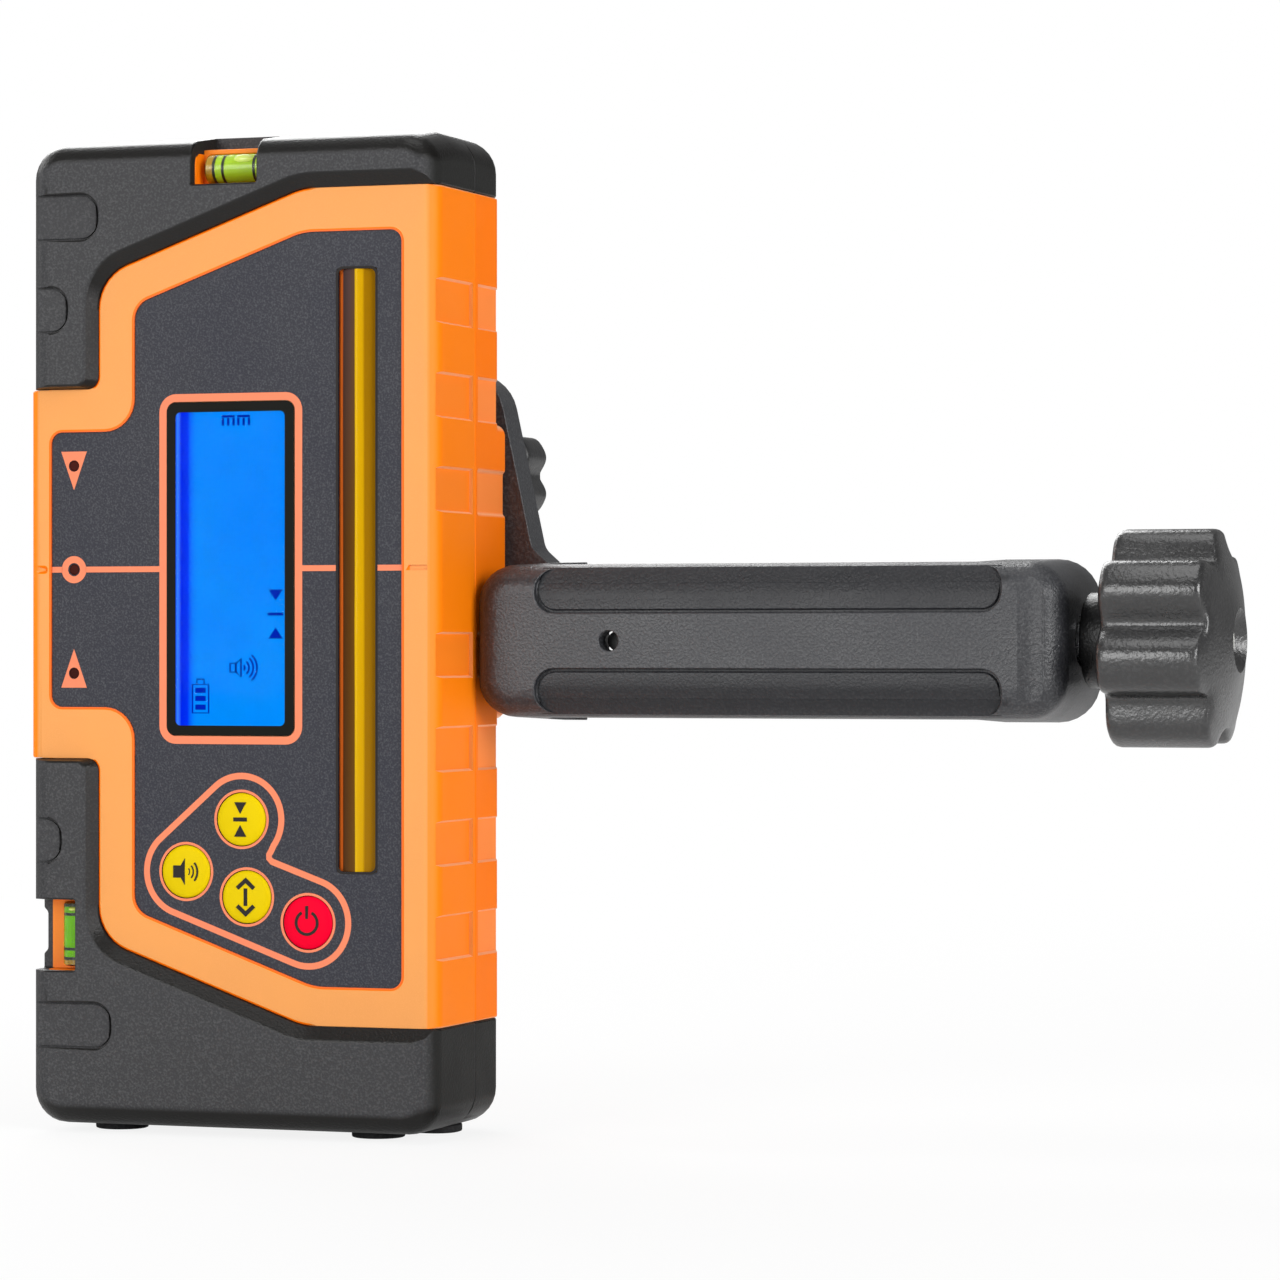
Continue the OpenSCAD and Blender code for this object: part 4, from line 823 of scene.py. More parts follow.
def baked(name: str, mesh: bpy.types.Mesh, prepare: Modifiers) -> bpy.types.Mesh:
    """Runs modifiers on a mesh and returns the plain result.

    Args:
        name: the result's name.
        mesh: the mesh to start from.
        prepare: modifier types with their settings.

    Returns:
        A new mesh with the modifiers applied.
    """
    holder = bpy.data.objects.new(name + ".holder", mesh)
    bpy.context.scene.collection.objects.link(holder)
    for kind, settings in prepare:
        modifier = holder.modifiers.new(kind.lower(), kind)
        for key, value in settings.items():
            if isinstance(modifier, bpy.types.NodesModifier) and key != "node_group":
                modifier[key] = value
            else:
                setattr(modifier, key, value)
    graph = bpy.context.evaluated_depsgraph_get()
    result = bpy.data.meshes.new_from_object(holder.evaluated_get(graph), depsgraph=graph)
    result.name = name
    bpy.data.objects.remove(holder)
    return result


def crossed_corners(loop: Sequence[Vector], normal: Vector) -> list[Vector]:
    """Finds where a face's outline crosses itself.

    Args:
        loop: the face's corners.
        normal: its normal.

    Returns:
        The corners of the edges that cross.
    """
    drop = max(range(3), key=lambda k: abs(normal[k]))
    flat = [[c for k, c in enumerate(point) if k != drop] for point in loop]
    count = len(flat)

    def side(i: int, j: int, k: int) -> float:
        """Tells on which side of corners i and j corner k lies."""
        (ax, ay), (bx, by), (cx, cy) = flat[i], flat[j], flat[k]
        return (bx - ax) * (cy - ay) - (by - ay) * (cx - ax)

    found: list[Vector] = []
    for i in range(count):
        n = (i + 1) % count
        for j in range(i + 2, count - (i == 0)):
            m = (j + 1) % count
            if side(i, n, j) * side(i, n, m) < 0 and side(j, m, i) * side(j, m, n) < 0:
                found += [loop[i], loop[n], loop[j], loop[m]]
    return found


def folded_corners(mesh: bpy.types.Mesh) -> list[Vector]:
    """Finds the corners at which a bevel folded a face.

    Args:
        mesh: the bevelled mesh.

    Returns:
        The corners of every crossing.
    """
    mesh.calc_loop_triangles()
    covered = [0.0] * len(mesh.polygons)
    for triangle in mesh.loop_triangles:
        covered[triangle.polygon_index] += triangle.area
    found: list[Vector] = []
    for face in mesh.polygons:
        loop = [mesh.vertices[i].co.copy() for i in face.vertices]
        turned = sum((a.cross(b) for a, b in zip(loop, loop[1:] + loop[:1])), Vector())
        if len(loop) > 4 and abs(covered[face.index] - turned.length / 2) > 2e-9:
            found += crossed_corners(loop, turned)
    return found


def merged_copy(node: str) -> bmesh.types.BMesh:
    """Copies a CAD node's mesh and joins its triangles into whole faces.

    Args:
        node: the CAD node.

    Returns:
        The copy.
    """
    bm = bmesh.new()
    bm.from_mesh(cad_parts[node].data)
    bmesh.ops.remove_doubles(bm, verts=bm.verts, dist=2e-6)
    bmesh.ops.dissolve_limit(bm, angle_limit=math.radians(0.6), verts=bm.verts, edges=bm.edges)
    return bm


def dressed_copy(node: str, material: bpy.types.Material, edge: Edge, skin: Skin) -> bpy.types.Mesh:
    """Copies a CAD node's mesh and breaks the hard edges that show.

    Args:
        node: the CAD node.
        material: the finish.
        edge: how far the edges are broken.
        skin: which edges show.

    Returns:
        The new mesh.
    """
    bm = merged_copy(node)
    bm.edges.ensure_lookup_table()
    weight = bm.edges.layers.float.new("bevel_weight_edge")
    broken, rounds, near = 38.0, 6, 2.5 * edge.value * MM
    sharp = math.radians(broken)
    hard = [e for e in bm.edges if len(e.link_faces) == 2 and e.calc_face_angle() > sharp]
    for e in hard:
        e[weight] = float(skin.shows((e.verts[0].co + e.verts[1].co) / 2))
    steps: Modifiers = [
        ("BEVEL", {"width": edge.value * MM, "segments": 2, "limit_method": "WEIGHT",
                   "use_clamp_overlap": False, "miter_outer": "MITER_ARC"}),
        ("WEIGHTED_NORMAL", {"keep_sharp": True, "weight": 80})]
    for _ in range(rounds):
        mesh = bpy.data.meshes.new(node)
        bm.to_mesh(mesh)
        for layer in [a for a in mesh.attributes if a.name == "custom_normal"]:
            mesh.attributes.remove(layer)
        mesh.materials.clear()
        mesh.materials.append(material)
        smooth(mesh, broken)
        result = baked(node, mesh, steps)
        folds = folded_corners(result)
        if not folds:
            break
        for e in hard:
            ends = [v.co for v in e.verts]
            if any((fold - end).length < near for fold in folds for end in ends):
                e[weight] = 0.0
    bm.free()
    return result


def arc(x: float, z: float, r: float, start: float, end: float, steps: int = 24) -> list[Pair]:
    """Points on an arc.

    Args:
        x: its middle.
        z: its middle.
        r: its radius.
        start: first angle in degrees.
        end: last angle in degrees.
        steps: number of steps.

    Returns:
        The points, both ends included.
    """
    turns = [math.radians(start + (end - start) * i / steps) for i in range(steps + 1)]
    return [(x + r * math.cos(a), z + r * math.sin(a)) for a in turns]


def ring(x: float, z: float, r: float, steps: int = 56) -> list[Pair]:
    """Points round a circle."""
    return arc(x, z, r, 0, 360 - 360 / steps, steps - 1)


def soft_box(x0: float, z0: float, x1: float, z1: float, r: float) -> list[Pair]:
    """Points round a rectangle with round corners.

    Args:
        x0: its left.
        z0: its bottom.
        x1: its right.
        z1: its top.
        r: radius of its corners.

    Returns:
        The points.
    """
    corners = [(x1 - r, z0 + r, -90), (x1 - r, z1 - r, 0),
               (x0 + r, z1 - r, 90), (x0 + r, z0 + r, 180)]
    return [p for x, z, a in corners for p in arc(x, z, r, a, a + 90, 8)]


def rounded(corners: Sequence[Triple], steps: int = 8) -> list[Pair]:
    """Points round a polygon with round corners.

    Args:
        corners: each corner's place and radius.
        steps: steps round each corner.

    Returns:
        The points, in the corners' order.
    """
    points: list[Pair] = []
    count = len(corners)
    for i, (x, z, r) in enumerate(corners):
        here = Vector((x, z))
        to_last = (Vector(corners[i - 1][:2]) - here).normalized()
        to_next = (Vector(corners[(i + 1) % count][:2]) - here).normalized()
        half = to_last.angle(to_next) / 2
        hub = here + (to_last + to_next).normalized() * (r / math.sin(half))
        first = here + to_last * (r / math.tan(half)) - hub
        last = here + to_next * (r / math.tan(half)) - hub
        swing = first.angle_signed(last)
        start = math.atan2(first.y, first.x)
        turns = [start - swing * k / steps for k in range(steps + 1)]
        points += [(hub.x + r * math.cos(a), hub.y + r * math.sin(a)) for a in turns]
    return points


def band(path: Sequence[Pair], width: float, closed: bool) -> list[list[Pair]]:
    """Loops along both sides of a path.

    Args:
        path: points along its middle.
        width: width of the band.
        closed: whether the path closes on itself.

    Returns:
        Outer and inner loops if closed, otherwise one loop round the band.
    """
    count = len(path)
    sides: tuple[list[Pair], list[Pair]] = ([], [])
    for i, (x, z) in enumerate(path):
        before = path[(i - 1) % count] if closed or i > 0 else path[0]
        after = path[(i + 1) % count] if closed or i < count - 1 else path[-1]
        way = Vector((after[0] - before[0], after[1] - before[1])).normalized()
        for side, sign in zip(sides, (1, -1)):
            side.append((x - sign * way.y * width / 2, z + sign * way.x * width / 2))
    return [sides[0], sides[1]] if closed else [sides[0] + sides[1][::-1]]


class Print:
    """A flat print on a surface that faces the viewer: filled loops with a little thickness."""

    def __init__(self, front: float, thick: float = 0.05) -> None:
        """Starts an empty print.

        Args:
            front: its front, in millimetres behind the face.
            thick: its thickness in millimetres.
        """
        self.front = front
        self.back = front + thick
        self.bm = bmesh.new()

    def fill(self, *loops: Sequence[Pair]) -> Print:
        """Adds one filled shape; later loops are holes in the first.

        Args:
            loops: closed loops of points.

        Returns:
            This print.
        """
        edges = []
        for loop in loops:
            verts = [self.bm.verts.new(at(x, self.front, z)) for x, z in loop]
            edges += [self.bm.edges.new((a, b)) for a, b in zip(verts, verts[1:] + verts[:1])]
        filled = bmesh.ops.triangle_fill(self.bm, edges=edges, use_beauty=True)
        faces = [f for f in filled["geom"] if isinstance(f, bmesh.types.BMFace)]
        moved = bmesh.ops.extrude_face_region(self.bm, geom=faces)
        verts = [v for v in moved["geom"] if isinstance(v, bmesh.types.BMVert)]
        bmesh.ops.translate(self.bm, verts=verts, vec=Vector((0, (self.back - self.front) * MM, 0)))
        return self

    def hoop(self, outer: Sequence[Pair], inner: Sequence[Pair]) -> Print:
        """Adds a closed band between two loops of as many points.

        Args:
            outer: points of one side.
            inner: points of the other side, in the same order.

        Returns:
            This print.
        """
        front, back = self.front, self.back
        loops = ((outer, front), (inner, front), (inner, back), (outer, back))
        rows = [[self.bm.verts.new(at(x, y, z)) for x, z in loop] for loop, y in loops]
        count = len(outer)
        for a, b in zip(rows, rows[1:] + rows[:1]):
            for i in range(count):
                n = (i + 1) % count
                self.bm.faces.new((a[i], a[n], b[n], b[i]))
        return self

    def line(self, path: Sequence[Pair], width: float, closed: bool = False) -> Print:
        """Adds a line of a width along a path."""
        loops = band(path, width, closed)
        return self.hoop(*loops) if closed else self.fill(*loops)

    def mesh(self, name: str, material: bpy.types.Material) -> bpy.types.Mesh:
        """Closes the print into a mesh."""
        return mesh_from(self.bm, name, material)


def lathe(profile: Sequence[Pair], axis: Axis, middle: Vector,
          steps: int = 64) -> bmesh.types.BMesh:
    """Turns a profile about an axis.

    Args:
        profile: (along, radius) pairs in millimetres; ends at radius 0 close the shape.
        axis: the way that it lies.
        middle: where along is 0, in metres in the row frame.
        steps: steps round the turn.

    Returns:
        The turned shape.
    """
    bm = bmesh.new()
    rows = []
    for along, radius in profile:
        row = []
        for k in range(steps if radius > 0 else 1):
            a = 2 * math.pi * k / steps
            u, v = radius * math.cos(a), radius * math.sin(a)
            spots = {Axis.ALONG_X: (along, u, v), Axis.ALONG_Y: (v, along, u),
                     Axis.ALONG_Z: (u, v, along)}
            row.append(bm.verts.new(middle + Vector(spots[axis]) * MM))
        rows.append(row)
    for a, b in zip(rows, rows[1:]):
        for k in range(steps):
            n = (k + 1) % steps
            ring_faces = [a[k % len(a)], a[n % len(a)], b[n % len(b)], b[k % len(b)]]
            corners = list(dict.fromkeys(ring_faces))
            if len(corners) > 2:
                bm.faces.new(corners)
    for row in (rows[0], rows[-1]):
        if len(row) > 1:
            bm.faces.new(row)
    return bm


class NodeGroup:
    """A geometry node tree under construction."""

    def __init__(self, name: str) -> None:
        """Starts a tree with a geometry output.

        Args:
            name: the tree's name.
        """
        self.tree = bpy.data.node_groups.new(name, "GeometryNodeTree")
        sockets = self.tree.interface
        sockets.new_socket("Geometry", in_out="OUTPUT", socket_type="NodeSocketGeometry")
        self.out = self.tree.nodes.new("NodeGroupOutput")
        self.inputs: dict[str, str] = {}
        self.start = self.tree.nodes.new("NodeGroupInput")

    def take(self, name: str, kind: str) -> None:
        """Adds a named input of a kind such as Float, Int, Material or Geometry."""
        sockets, kind = self.tree.interface, "NodeSocket" + kind
        self.inputs[name] = sockets.new_socket(name, in_out="INPUT", socket_type=kind).identifier

    def given(self, name: str) -> Socket:
        """The socket of a named input."""
        return self.start.outputs[name]

    def node(self, kind: str, **links: Socket | float | tuple[float, ...]) -> bpy.types.Node:
        """Adds a node.

        Args:
            kind: its type.
            links: sockets or values by input name, with underscores for spaces.

        Returns:
            The node.
        """
        node = self.tree.nodes.new(kind)
        for key, value in links.items():
            self.feed(value, node.inputs[key.replace("_", " ")])
        return node

    def feed(self, value: Socket | float | tuple[float, ...], socket: Socket) -> None:
        """Links a socket to an input, or sets the input to a value.

        Args:
            value: a socket or a value.
            socket: the input.
        """
        if isinstance(value, bpy.types.NodeSocket):
            self.tree.links.new(value, socket)
        else:
            socket.default_value = value

    def vector(self, operation: str, a: Socket, b: Socket | None = None,
               scale: Socket | None = None) -> Socket:
        """Adds a Vector Math node.

        Args:
            operation: what it does.
            a: its first vector.
            b: its second vector, if any.
            scale: its scale, if any.

        Returns:
            The vector.
        """
        node = self.tree.nodes.new("ShaderNodeVectorMath")
        node.operation = operation
        self.feed(a, node.inputs[0])
        if b:
            self.feed(b, node.inputs[1])
        if scale:
            self.feed(scale, node.inputs[3])
        return node.outputs[0]

    def math(self, operation: str, a: Socket | float, b: Socket | float = 0.0) -> Socket:
        """Adds a Math node.

        Args:
            operation: what it does.
            a: its first value.
            b: its second value.

        Returns:
            The result.
        """
        node = self.tree.nodes.new("ShaderNodeMath")
        node.operation = operation
        self.feed(a, node.inputs[0])
        self.feed(b, node.inputs[1])
        return node.outputs[0]

    def finish(self, shape: Socket, material: Socket) -> None:
        """Ends the tree in Realize Instances and Set Material.

        Args:
            shape: the geometry.
            material: the material.
        """
        real = self.node("GeometryNodeRealizeInstances", Geometry=shape)
        dressed = self.node("GeometryNodeSetMaterial", Geometry=real.outputs[0], Material=material)
        self.tree.links.new(dressed.outputs[0], self.out.inputs["Geometry"])


def lobe_tree() -> NodeGroup:
    """The tree that presses hollows between the lobes of a knob turned about X or Y.

    Returns:
        The finished tree's group.
    """
    group = NodeGroup("knob lobes")
    kinds = {"Geometry": "Geometry", "Middle": "Vector", "Along": "Vector", "Hollow": "Float",
             "Lobes": "Int", "Turn": "Float", "Material": "Material"}
    for name, kind in kinds.items():
        group.take(name, kind)
    here = group.node("GeometryNodeInputPosition").outputs[0]
    arm = group.vector("SUBTRACT", here, group.given("Middle"))
    radial = group.vector("SUBTRACT", arm, group.vector("PROJECT", arm, group.given("Along")))
    parts = group.node("ShaderNodeSeparateXYZ", Vector=radial)
    flat = group.math("ADD", parts.outputs["X"], parts.outputs["Y"])
    angle = group.math("ADD", group.math("ARCTAN2", parts.outputs["Z"], flat), group.given("Turn"))
    wave = group.math("COSINE", group.math("MULTIPLY", angle, group.given("Lobes")))
    dip = group.math("POWER", group.math("MULTIPLY", group.math("SUBTRACT", 1.0, wave), 0.5), 2.0)
    share = group.node("GeometryNodeInputNamedAttribute", Name="lobe_share").outputs["Attribute"]
    depth = group.math("MULTIPLY", group.math("MULTIPLY", dip, group.given("Hollow")), share)
    inwards = group.math("MULTIPLY", depth, -1.0)
    shift = group.vector("SCALE", group.vector("NORMALIZE", radial), scale=inwards)
    moved = group.node("GeometryNodeSetPosition", Geometry=group.given("Geometry"), Offset=shift)
    group.finish(moved.outputs[0], group.given("Material"))
    return group


def thread_tree() -> NodeGroup:
    """The tree that winds a screw's thread along Z.

    Returns:
        The finished tree's group.
    """
    group = NodeGroup("screw thread")
    kinds = {"Turns": "Float", "Radius": "Float", "Length": "Float", "Ridge": "Float",
             "Middle": "Vector", "Tilt": "Vector", "Material": "Material"}
    for name, kind in kinds.items():
        group.take(name, kind)
    path = group.node("GeometryNodeCurveSpiral", Resolution=40, Rotations=group.given("Turns"),
                      Start_Radius=group.given("Radius"), End_Radius=group.given("Radius"),
                      Height=group.given("Length"))
    tooth = group.node("GeometryNodeCurvePrimitiveCircle", Resolution=6,
                       Radius=group.given("Ridge"))
    swept = group.node("GeometryNodeCurveToMesh", Curve=path.outputs[0],
                       Profile_Curve=tooth.outputs[0], Fill_Caps=True)
    laid = group.node("GeometryNodeTransform", Geometry=swept.outputs[0],
                      Translation=group.given("Middle"), Rotation=group.given("Tilt"))
    group.finish(laid.outputs[0], group.given("Material"))
    return group


def seen_rays(nodes: bpy.types.Nodes, links: bpy.types.NodeLinks, glossy: float = 0.22) -> Socket:
    """Picks the rays that show the background: straight, through glass, and some mirrored ones.

    Args:
        nodes: the tree's nodes.
        links: the tree's links.
        glossy: share of the background in mirrored rays.

    Returns:
        The share of the background.
    """
    rays = nodes.new("ShaderNodeLightPath")
    seen = nodes.new("ShaderNodeMath")
    seen.operation = "MAXIMUM"
    links.new(rays.outputs["Is Camera Ray"], seen.inputs[0])
    links.new(rays.outputs["Is Transmission Ray"], seen.inputs[1])
    both = nodes.new("ShaderNodeMath")
    both.operation = "MULTIPLY_ADD"
    both.use_clamp = True
    links.new(rays.outputs["Is Glossy Ray"], both.inputs[0])
    both.inputs[1].default_value = glossy
    links.new(seen.outputs[0], both.inputs[2])
    return both.outputs[0]


@dataclass
class Studio:
    """Camera, floor, backdrop and lights.

    Args:
        camera_at: the camera's place.
        yaw: how far it is turned to the left, in degrees.
        lens: its focal length in millimetres.
        sensor: width of its sensor in millimetres.
        horizon: the picture's row at the camera's height.
        picture: the picture's side in pixels.
        floor_z: the floor's height.
        floor_half: half of the floor's side in metres.
        floor_grey: the floor's own shade.
        white_from: distances in metres between which the floor turns white.
        white_share: share of white at these distances.
        world_light: strength of the light from all round.
        lit_spot: the place that the lamps point at.
        lights: each lamp's name, direction, distance, size and power.
    """

    camera_at: Triple = (338.0, -744.7, -13.96)
    yaw: float = 19.5
    lens: float = 133.6
    sensor: float = 36.0
    horizon: float = 650.0
    picture: float = 1280.0
    floor_z: float = -97.62
    floor_half: float = 3.0
    floor_grey: float = 0.86
    white_from: Pair = (0.35, 0.8)
    white_share: Pair = (0.86, 1.0)
    world_light: float = 0.11
    lit_spot: Triple = (20.0, 10.0, -10.0)
    lights: tuple[tuple[str, Pair, float, float, float], ...] = (
        ("front", (-20.0, 15.0), 2.2, 1.25, 26.5),
        ("right", (60.0, 16.0), 2.2, 1.1, 33.0),
        ("top", (10.0, 80.0), 1.8, 1.2, 9.0),
        ("left", (-95.0, 25.0), 2.2, 1.1, 14.0),
        ("back", (215.0, 35.0), 2.2, 1.3, 31.0),
    )

    def build(self) -> None:
        """Makes everything that isn't the object."""
        self.aim_camera()
        self.lay_floor()
        self.fill_world()
        for name, way, distance, size, power in self.lights:
            self.hang_light(name, way, distance, size, power)
        bpy.context.scene.view_settings.view_transform = "Standard"

    def aim_camera(self) -> None:
        """Puts the camera where the photographer stood."""
        data = bpy.data.cameras.new("camera")
        data.lens = self.lens
        data.sensor_width = self.sensor
        data.shift_y = (self.horizon - self.picture / 2) / self.picture
        data.clip_start = 0.01
        camera = bpy.data.objects.new("camera", data)
        camera.location = at(*self.camera_at)
        camera.rotation_euler = (math.radians(90), 0, math.radians(self.yaw))
        bpy.context.scene.collection.objects.link(camera)
        bpy.context.scene.camera = camera

    def lay_floor(self) -> None:
        """Lays a pale floor that shows white to the camera and keeps a soft shadow."""
        bm = bmesh.new()
        half, z = self.floor_half, self.floor_z * MM
        corners = ((-half, -half), (half, -half), (half, half), (-half, half))
        bm.faces.new([bm.verts.new((x, y, z)) for x, y in corners])
        mesh = bpy.data.meshes.new("floor")
        bm.to_mesh(mesh)
        bm.free()
        floor = bpy.data.objects.new("floor", mesh)
        bpy.context.scene.collection.objects.link(floor)
        shader = Shader("floor_white")
        shader.set(Base_Color=(self.floor_grey,) * 3, Roughness=0.9, Specular_IOR_Level=0.0)
        glow = shader.nodes.new("ShaderNodeEmission")
        mix = shader.nodes.new("ShaderNodeMixShader")
        far = shader.nodes.new("ShaderNodeVectorMath")
        far.operation = "LENGTH"
        shader.links.new(shader.place, far.inputs[0])
        keep = shader.span(far.outputs["Value"], *self.white_from, *self.white_share)
        share = shader.product(seen_rays(shader.nodes, shader.links), keep)
        shader.links.new(share, mix.inputs[0])
        shader.links.new(shader.bsdf.outputs[0], mix.inputs[1])
        shader.links.new(glow.outputs[0], mix.inputs[2])
        shader.links.new(mix.outputs[0], shader.nodes["Material Output"].inputs["Surface"])
        mesh.materials.append(shader.material)

    def fill_world(self) -> None:
        """Lights the scene evenly and shows white behind the object."""
        world = bpy.data.worlds.new("studio")
        world.use_nodes = True
        bpy.context.scene.world = world
        nodes, links = world.node_tree.nodes, world.node_tree.links
        soft = nodes["Background"]
        soft.inputs["Color"].default_value = (1, 1, 1, 1)
        soft.inputs["Strength"].default_value = self.world_light
        white = nodes.new("ShaderNodeBackground")
        white.inputs["Color"].default_value = (1, 1, 1, 1)
        mix = nodes.new("ShaderNodeMixShader")
        links.new(seen_rays(nodes, links), mix.inputs[0])
        links.new(soft.outputs[0], mix.inputs[1])
        links.new(white.outputs[0], mix.inputs[2])
        links.new(mix.outputs[0], nodes["World Output"].inputs["Surface"])

    def hang_light(self, name: str, way: Pair, distance: float, size: float, power: float) -> None:
        """Hangs a square lamp that points at the object.

        Args:
            name: the lamp's name.
            way: turn from the face's front to the right, and height, in degrees.
            distance: how far off it hangs, in metres.
            size: its side in metres.
            power: its power in watts.
        """
        turn, rise = (math.radians(angle) for angle in way)
        flat = math.cos(rise)
        spot = Vector((flat * math.sin(turn), -flat * math.cos(turn), math.sin(rise))) * distance
        data = bpy.data.lights.new(name, "AREA")
        data.size = size
        data.energy = power
        lamp = bpy.data.objects.new(name, data)
        lamp.location = at(*self.lit_spot) + spot
        lamp.rotation_euler = (-spot).to_track_quat("-Z", "Y").to_euler()
        bpy.context.scene.collection.objects.link(lamp)


@dataclass
class Carried:
    """CAD nodes that keep their shape, and what they are made of.

    Args:
        finishes: the finishes to use.
        kept: the finish of each node that stays as it is.
        skins: which edges of the housing's nodes show.
        copied: finish, body, slot and edge of each node that is copied with broken edges.
    """

    finishes: Finishes
    kept: dict[str, str] = field(default_factory=lambda: {
        "shell_gasket": "black_rubber", "lcd_backlight": "white_plastic",
        "photodiode_board": "board_green", "photodiodes": "component_black",
        "main_board": "board_green", "board_screws": "steel",
        "key_switches": "component_black", "indicator_leds": "red_lens",
        "buzzer": "component_black", "battery_cells": "cell_wrap",
        "battery_contacts": "steel", "door_hinge_pin": "steel",
        "clamp_insert": "brass", "stop_pin": "component_black",
        "jaw_keeper": "steel", "bracket_stud": "steel", "door_seal": "black_rubber",
    })
    skins: dict[str, Skin] = field(default_factory=lambda: {
        "front_shell": Skin.FRONT, "rear_shell": Skin.BACK,
        "top_bumper_front": Skin.FRONT, "top_bumper_rear": Skin.BACK,
        "bottom_bumper_front": Skin.FRONT, "bottom_bumper_rear": Skin.BACK,
    })
    copied: dict[str, tuple[str, str, str, Edge]] = field(default_factory=lambda: {
        "front_shell": ("orange_shell", ROOT, "shell_orange", Edge.ROUND),
        "rear_shell": ("orange_rear", ROOT, "shell_orange", Edge.ROUND),
        "top_bumper_front": ("bumper_rubber", ROOT, "bumper_rubber", Edge.ROUND),
        "top_bumper_rear": ("bumper_rubber", ROOT, "bumper_rubber", Edge.ROUND),
        "bottom_bumper_front": ("bumper_rubber", ROOT, "bumper_rubber", Edge.ROUND),
        "bottom_bumper_rear": ("bumper_rubber", ROOT, "bumper_rubber", Edge.ROUND),
        "base_feet": ("black_rubber", ROOT, "black_rubber", Edge.ROUND),
        "front_panel": ("panel_film", ROOT, "panel_dark", Edge.CRISP),
        "sensor_window": ("amber_window", ROOT, "window_amber", Edge.CRISP),
        "shell_screws": ("steel", ROOT, "steel", Edge.CRISP),
        "indicator_lenses": ("red_lens", ROOT, "led_red", Edge.CRISP),
        "top_vial_seat": ("orange_seat", ROOT, "shell_orange", Edge.SOFT),
        "side_vial_seat": ("orange_seat", ROOT, "shell_orange", Edge.SOFT),
        "battery_door": ("bumper_rubber", "battery_door", "clamp_black", Edge.SOFT),
        "clamp_frame": ("clamp_plastic", ROOT, "clamp_black", Edge.SOFT),
        "fixed_jaw_pad": ("black_rubber", ROOT, "black_rubber", Edge.SOFT),
        "clamp_nut": ("brass", ROOT, "brass", Edge.SOFT),
        "moving_jaw": ("clamp_plastic", "jaw", "clamp_black", Edge.ROUND),
        "moving_jaw_pad": ("black_rubber", "jaw", "black_rubber", Edge.SOFT),
        "knob_end_screw": ("zinc", "clamp_screw", "steel", Edge.CRISP),
        "bracket_washer": ("steel", "bracket_washer", "steel", Edge.SOFT),
    })

    def build(self) -> None:
        """Dresses the kept nodes and lays the finished copies over the others."""
        for node, finish in self.kept.items():
            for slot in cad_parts[node].material_slots:
                slot.material = self.finishes[finish]
        for node, (finish, body, slot, edge) in self.copied.items():
            mesh = dressed_copy(node, self.finishes[finish], edge, self.skins.get(node, Skin.ALL))
            place_piece(node + "_dressed", mesh, body, [node])


